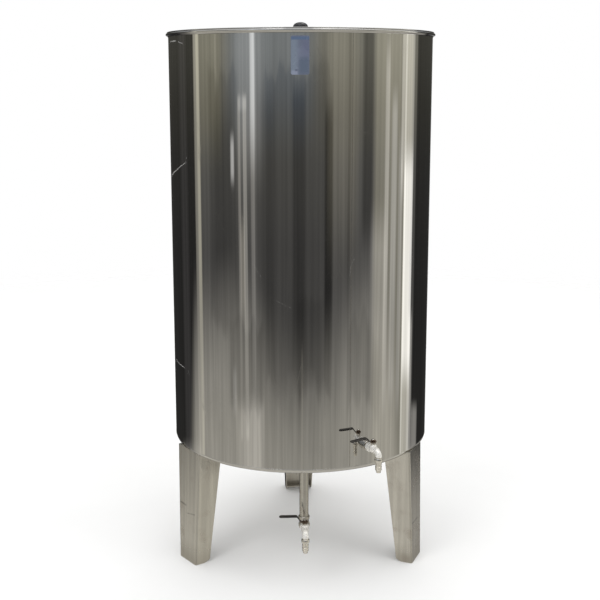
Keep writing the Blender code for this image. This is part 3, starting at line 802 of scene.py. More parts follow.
def build_bottom(sizes):
    """The flat plate with its drain hole, and the ring that turns it up into the wall."""
    edge, sheet = WALL_RADIUS - sizes.knuckle, sizes.bottom_sheet
    center = (edge, BOTTOM + sizes.knuckle)
    ring = arc(center, sizes.knuckle, 0, -90, 14) + arc(center, sizes.knuckle - sheet, -90, 0, 8)
    turned_piece("knuckle_ring", ring, WALL_STEPS, "tank", "polished_steel", ["bottom_ring"])
    shape = bmesh.new()
    edges = set()
    for segments, radius, x, y in ((96, edge - GAP, 0, 0), (32, PIPE_BORE, *DRAIN_PLACE)):
        circle = bmesh.ops.create_circle(shape, segments=segments, radius=radius,
                                         matrix=Matrix.Translation((x, y, BOTTOM)))
        edges.update(e for v in circle["verts"] for e in v.link_edges)
    bmesh.ops.bridge_loops(shape, edges=list(edges))
    made = bmesh.ops.extrude_face_region(shape, geom=list(shape.faces))["geom"]
    bmesh.ops.translate(shape, vec=(0, 0, sheet), verts=corners(made))
    add_piece("bottom_plate", shape, "tank", "polished_steel", ["tank_bottom"])


def build_upright_weld(sizes):
    """The wall's upright weld, ground nearly flush."""
    half = math.degrees(sizes.seam_width / 2 / WALL_RADIUS)
    azimuth = math.degrees(sizes.seam_azimuth)
    low, high = WALL_LOW.z + 0.001, RIM_LOW.z
    crown, root = 0.00007, 0.0002

    def across(u, v, t):
        z = low + (high - low) * v
        side = 2 * u - 1
        ripple = noise.noise(Vector((0.3, u * 2.0, z * 120)))
        lift = crown * (1 - side ** 2) if t > 0.5 else -root
        spot = around(azimuth + half * side * (1 + 0.10 * ripple), WALL_RADIUS, z)
        reach = WALL_RADIUS + wall_wave(spot, sizes.wave) + lift
        return Vector((spot.x, spot.y, 0)).normalized() * reach + Vector((0, 0, z))

    add_piece("upright_weld", folded_grid(4, 220, 1, across), "tank", "polished_steel",
              sharp=60, finish="weld_steel")


def build_round_weld():
    """The weld round the foot of the wall, above the ring."""
    shape = bmesh.new()
    z, width, proud, root = WALL_LOW.z - GAP / 2, 0.0009, 0.35, WALL_RADIUS - 0.0006
    line = [(root, z + width), *arc((WALL_RADIUS - 0.0002, z), width, 80, -80, 6),
            (root, z - width)]
    for vert in turn(shape, line, 360):
        reach = math.hypot(vert.co.x, vert.co.y)
        if reach > WALL_RADIUS:
            widen(vert, (WALL_RADIUS + (reach - WALL_RADIUS) * proud) / reach)
    add_piece("round_weld", shape, "tank", "polished_steel", sharp=70)


def build_sticker(sizes):
    """A plain film that follows the wall, with rounded corners."""
    width, height = sizes.sticker_width, sizes.sticker_height
    corner, film, glue = 0.004, 0.00012, 0.00006

    def wrap(u, v, t):
        z = STICKER_TOP - height * (1 - v)
        near = max(0.0, corner - min(v, 1 - v) * height)
        narrow = corner - math.sqrt(max(0.0, corner ** 2 - near ** 2))
        swing = math.degrees((width / 2 - narrow) * (2 * u - 1) / WALL_RADIUS)
        spot = around(STICKER_AZIMUTH + swing, WALL_RADIUS, z)
        reach = WALL_RADIUS + wall_wave(spot, sizes.wave) + glue + (film if t > 0.5 else 0)
        return around(STICKER_AZIMUTH + swing, reach, z)

    add_piece("plain_sticker", folded_grid(24, 52, 1, wrap), "tank", "label_film", sharp=40,
              finish="sticker_film")


# Lid
def build_lid(sizes):
    """A pressed lid: rolled hem, a shallow ring and a skirt below."""
    low = RIM_HIGH.z + GAP
    sheet, hem, hem_width, hem_step, hem_round = 0.0012, 0.0030, 0.0080, 0.0006, 0.0012
    edge = WALL_RADIUS + 0.0035
    skirt = WALL_RADIUS - sizes.sheet - 0.0055
    skirt_low = low - 0.018
    top, fold = low + sheet, edge - hem_width
    bead, bead_width, bead_rise, bead_steps = 0.262, 0.016, 0.0016, 8
    hold = 0.002                # rings this far from each fold keep the flat parts flat
    line = [(r, top) for r in (0, 0.10, 0.20, bead - hold, bead)]
    for i in range(1, bead_steps + 1):
        lift = math.sin(math.pi * i / bead_steps) ** 2
        line.append((bead + bead_width * i / bead_steps, top + bead_rise * lift))
    line += [(r, top) for r in (bead + bead_width + hold, 0.32, fold - hold, fold - hem_step)]
    line += arc((fold + 0.0010, top + hem_step), hem_round, 200, 90, 4)
    line += arc((edge - hem / 2, low + hem / 2), hem / 2, 90, -90, 8)
    line += [(skirt, low), (skirt, skirt_low), (skirt - sheet, skirt_low), (skirt - sheet, low),
             (bead, low), (0, low)]
    turned_piece("pressed_lid", line, 192, "lid", "polished_steel", ["lid"], sharp=40,
                 closed=False)


def build_knob():
    """The black knob on its washer."""
    low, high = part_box("lid_washer")
    radius, bore, bevel = (high.x - low.x) / 2, 0.004, 0.0006
    line = [(bore, high.z), (radius - bevel, high.z), (radius, high.z - bevel),
            (radius, low.z + bevel / 2), (radius - bevel / 2, low.z), (bore, low.z)]
    turned_piece("knob_washer", line, 48, "lid", "nickel_plate", ["lid_washer"])
    low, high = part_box("lid_knob")
    radius, dome_height, neck = (high.x - low.x) / 2, 0.0125, 0.0100
    belly, chamfer = high.z - dome_height, 0.0008
    line = [(radius * x, belly + dome_height * z) for x, z in arc((0, 0), 1, 90, 8, 16)]
    line += arc((radius * 0.93, belly), radius * 0.07, 0, -90, 5)
    line += [(neck + out, belly - drop)
             for out, drop in ((0.004, 0.0026), (0.001, 0.0042), (0, 0.0060))]
    line += [(neck, low.z + chamfer), (neck + chamfer, low.z), (0, low.z)]
    turned_piece("round_knob", line, 72, "lid", "black_knob", ["lid_knob"], sharp=50,
                 closed=False)


# Legs
LEGS = {"left": -58.5, "right": 61.5, "back": 181.5}
LEG_TURN = 6.0                  # how far each web is welded on out of square, in degrees
LEG_FACE = 0.381                # outer face of the web at its top, from the axis
LEG_SPLAY = 0.009               # how much farther out the foot stands
LEG_HALF = (0.0435, 0.0560)     # half width at the foot and at the top
LEG_FLANGE = (0.048, 0.078)     # flange depth at the foot and at the top
LEG_RISE = 0.008                # how far the web climbs past the flat bottom
LEG_WELD = 0.0011               # radius of the runs of weld at its top
TOE = (0.014, 0.008)            # the corner cut off at the foot of each flange
WEB_STOPS = (0, 0.15, 0.3, 0.45, 0.6, 0.75, 0.9, 0.97)
FLANGE_STOPS = (0.04, 0.08, 0.12, 0.16, 0.2, 0.25, 0.32, 0.42, 0.55, 0.7, 0.85, 0.93, 1)
FOLD_STEPS = 6


def leg_place(side):
    """Puts a leg's own frame in place: local +X outwards, Y across its web."""
    place = Matrix.Translation(around(LEGS[side], LEG_FACE, 0))
    return AXIS @ place @ heading(LEGS[side] + LEG_TURN)


def leg_lean(z):
    return LEG_SPLAY * (1 - z / BOTTOM)


def leg_ceiling(x, y, sizes):
    """Height of the underside of the vessel over a point of the leg's section."""
    turned = math.radians(LEG_TURN)
    reach = math.hypot(LEG_FACE * math.cos(turned) + x, y - LEG_FACE * math.sin(turned))
    edge, limit = WALL_RADIUS - sizes.knuckle, BOTTOM + LEG_RISE
    if reach <= edge:
        return BOTTOM - GAP
    if reach >= WALL_RADIUS + GAP:
        return limit
    drop = math.sqrt((sizes.knuckle + GAP) ** 2 - (reach - edge) ** 2)
    return min(limit, BOTTOM + sizes.knuckle - drop)


def leg_section(kind, share, sign, inset, height, bend):
    """A point (x, y) of the folded section: kind is web, fold or flange, share runs along it."""
    rise = height / BOTTOM
    half = LEG_HALF[0] + (LEG_HALF[1] - LEG_HALF[0]) * rise
    flange = LEG_FLANGE[0] + (LEG_FLANGE[1] - LEG_FLANGE[0]) * rise
    if kind == "web":
        return -inset, sign * share * (half - bend)
    if kind == "fold":
        a = RIGHT_ANGLE * share
        return (-bend + (bend - inset) * math.cos(a),
                sign * (half - bend + (bend - inset) * math.sin(a)))
    return -bend - (flange - bend) * share, sign * (half - inset)


def build_leg_channel(side, sizes):
    """One folded channel, cut to the vessel at its top and clipped at its toes."""
    bend, sheet = sizes.leg_bend, sizes.leg_sheet
    half = [("web", s) for s in WEB_STOPS]
    half += [("fold", i / FOLD_STEPS) for i in range(FOLD_STEPS + 1)]
    half += [("flange", s) for s in FLANGE_STOPS]
    stops = [(*stop, -1) for stop in reversed(half)] + [(*stop, 1) for stop in half[1:]]

    def fold(u, v, t):
        kind, share, sign = stops[round(u * (len(stops) - 1))]
        inset = sheet * (1 - v)
        x, y = leg_section(kind, share, sign, inset, 0, bend)
        low = TOE[1] * max(0.0, (TOE[0] - LEG_FLANGE[0] - x) / TOE[0])
        x, y = leg_section(kind, share, sign, inset, BOTTOM, bend)
        z = low + (leg_ceiling(x, y, sizes) - low) * t
        x, y = leg_section(kind, share, sign, inset, z, bend)
        return x + leg_lean(z), y, z

    leg = add_piece(f"folded_leg_{side}", folded_grid(len(stops) - 1, 1, 10, fold), "tank",
                    "satin_steel", [f"leg_{side}"], leg_place(side), 40)
    soften(leg, 0.0004)


def build_foot_pad(side, sizes):
    """The plate in the foot of a leg."""
    low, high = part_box(f"foot_plate_{side}")
    depth, middle, inset = 0.020, (low.z + high.z) / 2, sizes.leg_sheet + GAP
    shape = bmesh.new()
    size = Matrix.Diagonal((depth, 2 * (LEG_HALF[0] - inset), high.z - low.z, 1))
    spot = Matrix.Translation((leg_lean(middle) - inset - depth / 2, 0, middle))
    bmesh.ops.create_cube(shape, size=1, matrix=spot @ size)
    bmesh.ops.bevel(shape, geom=list(shape.edges), offset=0.0006, segments=2, profile=0.5,
                    affect="EDGES", material=-1)
    add_piece(f"foot_pad_{side}", shape, "tank", "satin_steel", [f"foot_plate_{side}"],
              leg_place(side), 40)


def build_leg_weld(side, sizes):
    """Weld metal along the top of the web and of both flanges."""
    shape = bmesh.new()
    turned, reach = math.radians(LEG_TURN), WALL_RADIUS - 0.0004
    start, run = -0.024, 0.076

    def along_wall(u):
        y = start + run * u
        side_step = y - LEG_FACE * math.sin(turned)
        x = math.sqrt(reach ** 2 - side_step ** 2) - LEG_FACE * math.cos(turned)
        return x, y, BOTTOM + LEG_RISE

    weld_run(shape, along_wall, LEG_WELD)
    for sign in (-1, 1):
        edge = sign * (LEG_HALF[1] - sizes.leg_sheet)
        weld_run(shape, lambda u: (-0.030 - 0.040 * u, edge, BOTTOM - LEG_WELD), LEG_WELD, 24)
    add_piece(f"leg_weld_{side}", shape, "tank", "satin_steel", (), leg_place(side), 60,
              "weld_steel")


# Taps: flow runs along local +X, the spindle along +Z, the closed lever along -Y
TAP_AZIMUTH = 27.8
TAP_HEIGHT = 0.0715
DRAIN_PLACE = (0.0098, -0.298)
DRAIN_HEADING = 3.0
DRAIN_DROP = 0.175
PIPE_RADIUS, PIPE_BORE = 0.0127, 0.0102
STEM_AT, BODY_END, SPOUT_AT = 0.0440, 0.0560, 0.0720    # distances from the inlet
STRAP_LOW, STRAP_SHEET = 0.0201, 0.0024     # underside at the hub, and thickness
STRAP_ENDS = (-0.0090, 0.0320)
STRAP_BEND = (0.0090, 0.0240)               # reach at which it starts and stops rising
HUB, STRAP_NECK = 0.0090, 0.0055            # half widths of the strap
SLEEVE_ROOT, LEVER_TIP = 0.0125, 0.0720
SLEEVE_NECK, SLEEVE_GRIP = 0.0064, 0.0072   # half widths
GRIP_START, GRIP_RISE = 0.018, 0.012        # where the neck widens, and over what length
LEVER_SHAPES = {"tap": (0.0128, 0.0028), "drain": (0.0167, 0.0)}    # rise to the grip, droop
# Lines of (radius, distance along) that are spun into the turned parts
BARREL_FRONT = [(0.0050, 0.0300), (0.0106, 0.0300), (0.0106, 0.0322), (0.0098, 0.0334)]
BARREL_REAR = [(0.0095, 0.0512), (0.0090, 0.0522), (0.0090, 0.0532), (0.0100, 0.0538),
               (0.0100, 0.0555), (0.0096, 0.0560), (0.0050, 0.0560)]
BODY_NECK = [(0, 0.004), (0.0094, 0.004), (0.0092, 0.0090), (0.0084, 0.0100), (0.0080, 0.0108),
             (0.0080, 0.0124), (0.0075, 0.0130), (0, 0.0130)]
SPINDLE_FOOT = [(0.0035, 0.0226), (0.0035, 0.0198), (0.0050, 0.0198), (0.0050, 0.0186),
                (0.0035, 0.0186), (0.0035, 0.0053), (0, 0.0053)]
LOCK_COLLAR = [(0.0038, 0.0260), (0.0046, 0.0260), (0.0046, 0.0268), (0.0043, 0.0273),
               (0.0038, 0.0273)]
# The hose tail hangs from TAIL_TOP: its collar, the places of its barbs and its tip, as drops
TAIL_TOP = -0.0143
TAIL_COLLAR = ((0.0040, 0), (0.0086, 0), (0.0086, 0.0026), (0.0108, 0.0031), (0.0112, 0.0037),
               (0.0112, 0.0110), (0.0108, 0.0116), (0.0087, 0.0120), (0.0085, 0.0126))
TAIL_BARBS = (0.0190, 0.0270, 0.0345)
TAIL_TIP = ((0.0081, 0.0356), (0.0066, 0.0430), (0.0060, 0.0437), (0.0040, 0.0437))
SOCKET = [(0.0070, 0.0160), (0.0128, 0.0160), (0.0135, 0.0153), (0.0135, 0.0010), (0.0070, 0.0004)]
ELBOW_COLLAR = ((0.0070, 0.0), (0.0152, 0.0), (0.0158, -0.0006), (0.0158, -0.0074),
                (0.0152, -0.0080), (0.0070, -0.0080))


def ease(share):
    """0 to 1 with a smooth start and end."""
    share = min(1.0, max(0.0, share))
    return share * share * (3 - 2 * share)


def lever_height(reach, rise, droop):
    """Underside of the lever's strap at a reach from its stem: hub, smooth rise, then grip."""
    start, end = STRAP_BEND
    past = max(0.0, (reach - end) / (LEVER_TIP - end))
    return STRAP_LOW + rise * ease((reach - start) / (end - start)) - droop * past


def strap_half(reach):
    """Half width of the strap: round hub, then a neck."""
    round_part = math.sqrt(max(0.0, HUB ** 2 - reach ** 2))
    return max(0.0004 if reach < 0 else STRAP_NECK, round_part)


def build_lever(prefix, pivot, sizes):
    """The plated strap and its dipped sleeve; closed, it lies along -Y."""
    toward = pivot @ Matrix.Rotation(-RIGHT_ANGLE, 4, "Z")
    body, numbers = f"{prefix}_lever", LEVER_SHAPES[prefix]
    start, end = STRAP_ENDS

    def strap(u, v, t):
        bow = start + (end - start) * (u ** 1.25)
        height = lever_height(bow, *numbers) + STRAP_SHEET * t
        return bow, strap_half(bow) * (2 * v - 1), height

    def rounded(value, size, corner=0.62):
        """One side of a circle squared off towards a box."""
        return math.copysign(abs(value) ** corner, value) * size

    def sleeve(u, x, y):
        reach = SLEEVE_ROOT + (LEVER_TIP - SLEEVE_ROOT) * (u - 0.06 * math.sin(math.tau * u))
        swell = min(1.0, max(0.0, (reach - GRIP_START) / GRIP_RISE))
        near_tip = max(0.0, 1 - (LEVER_TIP - reach) / SLEEVE_GRIP)
        near_root = max(0.0, 1 - (reach - SLEEVE_ROOT) / 0.0016)
        wide = SLEEVE_NECK + (SLEEVE_GRIP - SLEEVE_NECK) * swell
        wide = wide * math.sqrt(max(0.012, 1 - near_tip ** 2)) - 0.0008 * near_root ** 2
        deep = sizes.grip_thickness / 2 * (1 - 0.3 * near_root ** 2)
        deep *= math.sqrt(max(0.05, 1 - near_tip ** 6))
        middle = lever_height(reach, *numbers) + STRAP_SHEET / 2
        return reach, rounded(x, wide), middle + rounded(y, deep)

    item = add_piece(f"{prefix}_lever_strap", folded_grid(36, 6, 1, strap), body, "plated_nut",
                     [body], toward, 40, "yellow_zinc")
    soften(item, 0.0003)
    shape = bmesh.new()
    shaped_bar(shape, 28, 48, sleeve)
    add_piece(f"{prefix}_lever_sleeve", shape, body, "black_vinyl", (), toward, 60)


def thread(crest, root, start, pitch, turns=6):
    """Crests and roots of a screw thread."""
    places = [start + pitch * i for i in range(turns)]
    return [point for z in places for point in ((crest, z), (root, z + pitch / 2))]


def build_body(prefix, base):
    """The cast body: a hexagon at its inlet, a swelling barrel and a neck for the spindle."""
    shape = bmesh.new()
    hexagon(shape, flats=0.0235, low=0.0203, high=0.0313, bore=0.0060)
    (radius, start), rise, run, steps = BARREL_FRONT[-1], 0.0012, 0.0176, 10
    swell = [(radius + rise * math.sin(math.pi * i / steps) ** 0.8, start + run * i / steps)
             for i in range(1, steps)]
    turn(shape, BARREL_FRONT + swell + BARREL_REAR, 56)
    shape.transform(Matrix.Rotation(RIGHT_ANGLE, 4, "Y"))
    turn(shape, BODY_NECK, 48, closed=False, place=Matrix.Translation((STEM_AT, 0, 0)))
    add_piece(f"{prefix}_cast_body", shape, "tank", "nickel_plate", [f"{prefix}_valve_body"],
              base, 38, "cast_nickel")


def build_spindle(prefix, place):
    """The gland nut and the threaded spindle that turns with the lever."""
    shape = bmesh.new()
    hexagon(shape, flats=0.0145, low=0.0133, high=0.0178, bore=0.0038)
    add_piece(f"{prefix}_gland_nut", shape, "tank", "nickel_plate", [f"{prefix}_packing_nut"],
              place)
    line = [(0, 0.0288), (0.0030, 0.0288), *thread(0.0035, 0.0031, 0.0284, -0.0009),
            *SPINDLE_FOOT]
    turned_piece(f"{prefix}_spindle", line, 36, f"{prefix}_lever", "nickel_plate",
                 [f"{prefix}_stem"], place, 40, closed=False)


def build_lock_nut(prefix, place):
    """The nut that holds the lever on its spindle."""
    shape = bmesh.new()
    hexagon(shape, flats=0.0110, low=0.0228, high=0.0264, bore=0.0038)
    turn(shape, LOCK_COLLAR, 36)
    add_piece(f"{prefix}_lock_nut", shape, f"{prefix}_lever", "plated_nut",
              [f"{prefix}_lever_nut"], place, 38, "yellow_zinc")


def build_spout(prefix, base):
    """The bent spout and the barbed tail for a hose."""
    shape = bmesh.new()
    start, bend = BODY_END + GAP, 0.0120
    pipe_bend(shape, radius=0.0086, inlet=SPOUT_AT - start - bend, bend=bend, outlet=0.0020,
              place=Matrix.Translation((start, 0, 0)))
    add_piece(f"{prefix}_bent_spout", shape, "tank", "nickel_plate", [f"{prefix}_spout"], base,
              50, "cast_nickel")
    line = list(TAIL_COLLAR)
    for drop in TAIL_BARBS:
        line += [(0.0083, drop - 0.0005), (0.0093, drop), (0.0093, drop + 0.0006)]
    line = [(r, TAIL_TOP - drop) for r, drop in (*line, *TAIL_TIP)]
    turned_piece(f"{prefix}_barbed_tail", line, 48, "tank", "nickel_plate",
                 [f"{prefix}_hose_tail"], base @ Matrix.Translation((SPOUT_AT, 0, 0)), 40)


def build_valve(prefix, origin, azimuth, sizes):
    """One quarter-turn tap: flow along local +X, stem up, spout turned down."""
    base = AXIS @ Matrix.Translation(origin) @ heading(azimuth)
    sideways = base @ Matrix.Rotation(RIGHT_ANGLE, 4, "Y")
    stem_place = base @ Matrix.Translation((STEM_AT, 0, 0))
    line = [(0.0060, 0.0163), *thread(0.0090, 0.0085, 0.0163, 0.0006), (0.0088, 0.0200),
            (0.0060, 0.0200)]
    turned_piece(f"{prefix}_threaded_nipple", line, 40, "tank", "nickel_plate",
                 [f"{prefix}_nipple"], sideways, 50)
    build_body(prefix, base)
    build_spindle(prefix, stem_place)
    build_lever(prefix, stem_place, sizes)
    build_lock_nut(prefix, stem_place)
    build_spout(prefix, base)
    return base, sideways


def build_side_tap(sizes):
    """The tap on the wall, with its welded socket."""
    origin = around(TAP_AZIMUTH, WALL_RADIUS, BOTTOM + TAP_HEIGHT)
    _, sideways = build_valve("tap", origin, TAP_AZIMUTH, sizes)
    turned_piece("weld_socket", SOCKET, 56, "tank", "polished_steel", ["tap_socket"], sideways,
                 40, finish="satin_steel")
    shape = bmesh.new()
    for vert in turn(shape, arc((0.0138, 0), 0.0013, 0, 315, 7), 64):
        vert.co.z += math.sqrt(WALL_RADIUS ** 2 - vert.co.y ** 2) - WALL_RADIUS + 0.0005
    add_piece("socket_weld", shape, "tank", "polished_steel", (), sideways, 60, "weld_steel")


def build_drain(sizes):
    """Collar, pipe and elbow under the bottom, then the second tap."""
    origin = Vector((*DRAIN_PLACE, BOTTOM - DRAIN_DROP))
    base, _ = build_valve("drain", origin, DRAIN_HEADING, sizes)
    top, foot, outer = DRAIN_DROP - GAP, 0.0213, PIPE_RADIUS + GAP
    line = [(PIPE_BORE, top), (PIPE_RADIUS, top), (PIPE_RADIUS, foot), (PIPE_BORE, foot)]
    turned_piece("down_pipe", line, 56, "tank", "satin_steel", ["drain_pipe"], base)
    line = [(r, top - drop) for r, drop in (
        (outer, 0), (0.0190, 0), (0.0190, 0.0042), (0.0184, 0.0052), (0.0158, 0.0094),
        (0.0152, 0.0100), (outer, 0.0100))]
    turned_piece("weld_collar", line, 56, "tank", "satin_steel", ["drain_collar"], base)
    shape = bmesh.new()
    sideways = Matrix.Rotation(RIGHT_ANGLE, 4, "Y")
    down = Matrix.Translation((0, 0, 0.0209)) @ Matrix.Rotation(math.pi, 4, "Z") @ sideways
    pipe_bend(shape, radius=0.0132, inlet=0.0059, bend=0.0150, outlet=0.0008, place=down)
    for height, place in ((0.0210, None), (0.0160, sideways)):
        turn(shape, [(r, z + height) for r, z in ELBOW_COLLAR], 48, place=place)
    add_piece("cast_elbow", shape, "tank", "satin_steel", ["drain_elbow"], base, 42)


# Studio. Soft strips of light and shade all round stand for the room that the wall mirrors.
# name: (azimuth, half width, soft edge, lowest, highest, fade, strength), tint; in degrees
WHITE = (1.0, 1.0, 1.0)
ROOM_SEAM = -150                # azimuth at which the strips start and end, in a plain dark part
LIGHT_STRIPS = {
    "left door": ((-98.4, 1.5, 1.2, -40, 60, 5, 0.36), (1.04, 1.0, 0.80)),
    "left door frame": ((-102.4, 0.9, 1.3, -40, 60, 5, 0.17), (1.05, 1.0, 0.84)),
    "left wall": ((-84, 9, 7, -1, 60, 5, 0.045), (1.10, 1.0, 0.50)),
    "left post": ((-76.2, 0.6, 1.0, 0.5, 60, 1.8, 0.10), (1.05, 1.0, 0.85)),
    "lamp": ((-60, 0.8, 1.6, -4.9, -3.7, 1.1, 0.50), WHITE),
    "lamp on floor": ((-60, 0.8, 1.8, -17.4, -16.2, 1.0, 0.22), WHITE),
    "frame left": ((-53.3, 0.7, 1.0, -19.2, -1.2, 0.5, 0.17), (1.05, 1.0, 0.92)),
    "frame right": ((-48.0, 1.1, 1.0, -19.2, -1.2, 0.5, 0.25), (1.03, 1.0, 0.93)),
    "frame middle": ((-50.8, 1.3, 1.6, -11.5, -9, 2.2, 0.15), (1.08, 1.0, 0.84)),
    "frame top": ((-50, 3.4, 1.2, -1.5, -1.1, 0.35, 0.13), WHITE),
    "window": ((-41, 0.9, 2.2, -1.2, 60, 4.5, 0.52), (0.98, 1.0, 1.02)),
    "window tail": ((-41, 0.9, 1.6, -40, -5, 3, 0.15), (1.03, 1.0, 0.95)),
    "window glow": ((-44, 5, 12, -2, 60, 5, 0.12), (0.98, 1.0, 1.02)),
    "blue haze": ((-26, 28, 18, 2, 60, 7, 0.072), (0.0, 0.35, 1.0)),
    "right panel": ((36, 9, 8, -3, 60, 9, 0.075), (1.09, 1.0, 0.74)),
    "right patch": ((72, 5, 7, -13, -9.5, 3.5, 0.20), (1.03, 1.0, 0.95)),
    "right wall": ((89, 20, 6, -40, 60, 5, 0.17), (1.06, 1.0, 0.76)),
    "right post": ((79.6, 1.2, 2.0, -16, 0, 3, 0.30), (1.02, 1.0, 0.96)),
    "right post two": ((88, 1.8, 2.6, -16, -2, 2, 0.24), WHITE),
    "right post three": ((96.5, 1.4, 2.2, -16, -5, 3, 0.19), WHITE),
    "right door": ((107.8, 5.8, 1.8, -40, 60, 5, 0.32), (1.02, 1.0, 0.92)),
    "right door low": ((108.2, 5.2, 2.2, -14.5, -5.5, 2.6, 0.66), (1.0, 1.0, 1.01)),
    "right door head": ((98.6, 1.4, 1.4, -4.5, 60, 3, 0.28), (1.02, 1.0, 0.96)),
    "right door foot": ((114.4, 2.6, 1.8, -40, -13.5, 1.5, 0.29), (1.02, 1.0, 0.94)),
    "right door frame": ((102.2, 0.6, 0.9, -40, 60, 5, 0.28), (1.0, 1.0, 0.96)),
    "right corner": ((125, 4.5, 3, -20, -18, 0.9, 0.26), (1.03, 1.0, 0.95)),
    "right low": ((138, 18, 9, -40, -20.8, 1.4, 0.33), (1.04, 1.0, 0.92)),
    "left low": ((-118, 14, 8, -40, -20.6, 1.5, 0.24), (1.04, 1.0, 0.92)),
    "front left low": ((-43, 6, 8, -40, -18.2, 1.2, 0.27), (1.03, 1.0, 0.94)),
    "floor line": ((1.4, 0.3, 0.6, -40, -16, 2, 0.10), (1.06, 1.0, 0.86)),
    "rear panel": ((178, 9, 9, -40, 60, 8, 0.21), WHITE),
    "rear left": ((-122, 3, 6, -40, 60, 5, 0.025), (1.05, 1.0, 1.03)),
    "ceiling panel, left": ((-35, 12, 3, 56, 66, 2, 3.2), WHITE),
    "ceiling panel, right": ((30, 12, 3, 56, 66, 2, 3.2), WHITE),
    "ceiling panel, rear": ((150, 14, 3, 56, 66, 2, 3.0), WHITE),
}
# The same numbers; strength is the share of the light that a dark strip takes away
DARK_STRIPS = {
    "rear, left": (-180, 75.4, 2.8, -90, 11, 11, 0.76),
    "rear, right": (188, 67.0, 2.8, -90, 11, 11, 0.76),
    "dark post": (-1.5, 3.4, 3.6, -40, -1.4, 1.8, 0.40),
    "dark post, left": (-29, 4, 6, -15, -2.5, 3, 0.28),
    "dark post, right": (24, 2.2, 2.6, -16.5, -2.6, 2.4, 0.66),
    "panel joint": (42, 0.6, 1.2, -16, 3, 3, 0.30),
    "right of panel": (59, 3.0, 4.5, -7, 60, 3, 0.45),
    "left hollow": (-70, 7, 6, -9, -3.5, 3, 0.25),
    "floor joint": (24.7, 0.3, 0.5, -40, -14, 2, 0.25),
    "second floor joint": (52, 0.3, 0.5, -40, -14, 2, 0.25),
}
# Darker patches that lie over the lit floor too
SHADE_STRIPS = {
    "middle": (-2, 25, 7, -16.3, 0, 0.6, 0.24),
    "middle, low": (8, 9, 4, -17.0, -12, 0.5, 0.14),
    "lamp foot": (-49, 14, 4, -17.5, -13.5, 0.7, 0.26),
    "left": (-70, 13, 5, -13.0, 0, 0.8, 0.22),
    "right": (53, 9, 4, -17.2, -13.5, 1.0, 0.17),
    "right rear": (66, 5, 4, -17.2, -14, 0.9, 0.12),
}
# Colours by elevation: the room all round, and its lit floor
ROOM_LEVELS = ((-40, (0.130, 0.126, 0.118)), (-14, (0.105, 0.103, 0.101)),
               (-9, (0.105, 0.103, 0.101)), (-4.6, (0.132, 0.130, 0.123)),
               (-1.5, (0.180, 0.175, 0.152)), (1.5, (0.262, 0.256, 0.218)),
               (25, (0.34, 0.35, 0.36)), (60, (0.9, 0.9, 0.9)))
FLOOR_LEVELS = ((-90, (0.66, 0.64, 0.585)), (-40, (0.56, 0.54, 0.49)),
                (-19, (0.43, 0.415, 0.372)), (-16.5, (0.375, 0.362, 0.33)),
                (-14, (0.31, 0.30, 0.275)), (-10, (0.20, 0.195, 0.185)))
FLOOR_DEPTH = 0.62              # how far the lit floor lies below the middle of the wall
FLOOR_SIDE = (2.0, 3.8)         # its soft edges, from and to: at both sides, in front, behind
FLOOR_FRONT = (-2.85, -1.15)
FLOOR_REAR = (0.20, 0.70)
FLOOR_SLANT = 0.15              # how far the edge behind runs askew
LIGHT_ON_FLOOR = 0.5            # share of a light strip that the lit floor hides
RAGGED = 4.5                    # how uneven the lower edges of the shade strips are, in degrees


def lit_floor(nodes, x, y, elevation):
    """How much of the room's lit floor lies in a direction."""
    below = nodes.math("MAXIMUM", nodes.times(elevation, -1), 1)
    reach = nodes.math("DIVIDE", FLOOR_DEPTH, nodes.math("TANGENT", nodes.math("RADIANS", below)))
    flat = nodes.vector("NORMALIZE", nodes.join(x, y, 0.0))
    floor_x, floor_y, _ = nodes.split(nodes.vector("MULTIPLY", flat, reach))
    side = nodes.range(nodes.math("ABSOLUTE", floor_x), 1, 0, *FLOOR_SIDE, smooth=True)
    front = nodes.range(floor_y, 0, 1, *FLOOR_FRONT, smooth=True)
    behind = nodes.gain(floor_x, FLOOR_SLANT, floor_y)
    rear = nodes.range(behind, 1, 0, *FLOOR_REAR, smooth=True)
    lit = nodes.times(nodes.times(side, front), rear)
    return nodes.times(lit, nodes.math("LESS_THAN", elevation, 0))


def room_colour(nodes, way):
    """Colour of the room in a direction, for glossy surfaces."""
    x, y, z = nodes.split(way)
    azimuth = nodes.math("DEGREES", nodes.math("ARCTAN2", x, nodes.times(y, -1)))
    azimuth = nodes.math("WRAP", azimuth, ROOM_SEAM + 360, ROOM_SEAM)
    elevation = nodes.math("DEGREES", nodes.math("ARCSINE", z))
    spot = nodes.join(azimuth, elevation, 0.0)
    ragged = nodes.noise(nodes.vector("MULTIPLY", way, (8, 8, 3)), 1.0, 3.0)
    edge = nodes.gain(nodes.math("SUBTRACT", ragged, 0.5), RAGGED, elevation)
    patch = nodes.join(azimuth, edge, 0.0)
    lit = lit_floor(nodes, x, y, elevation)

    shade = nodes.ramp(elevation, ROOM_LEVELS)
    for numbers in DARK_STRIPS.values():
        shade = nodes.mix(nodes.strip(spot, numbers), shade, (0, 0, 0))
    shade = nodes.mix(lit, shade, nodes.ramp(elevation, FLOOR_LEVELS))
    for numbers in SHADE_STRIPS.values():
        shade = nodes.mix(nodes.strip(patch, numbers), shade, (0, 0, 0))

    light = None
    for numbers, tint in LIGHT_STRIPS.values():
        cover = nodes.vector("MULTIPLY", tint, nodes.strip(spot, numbers))
        light = cover if light is None else nodes.vector("ADD", light, cover)
    light = nodes.vector("MULTIPLY", light, nodes.range(lit, 1, 1 - LIGHT_ON_FLOOR))
    uneven = nodes.noise(nodes.vector("MULTIPLY", way, (24, 24, 1.2)), 1.0, 3.0)
    return nodes.vector("MULTIPLY", nodes.vector("ADD", shade, light),
                        nodes.range(uneven, 0.86, 1.14, 0.3, 0.7))


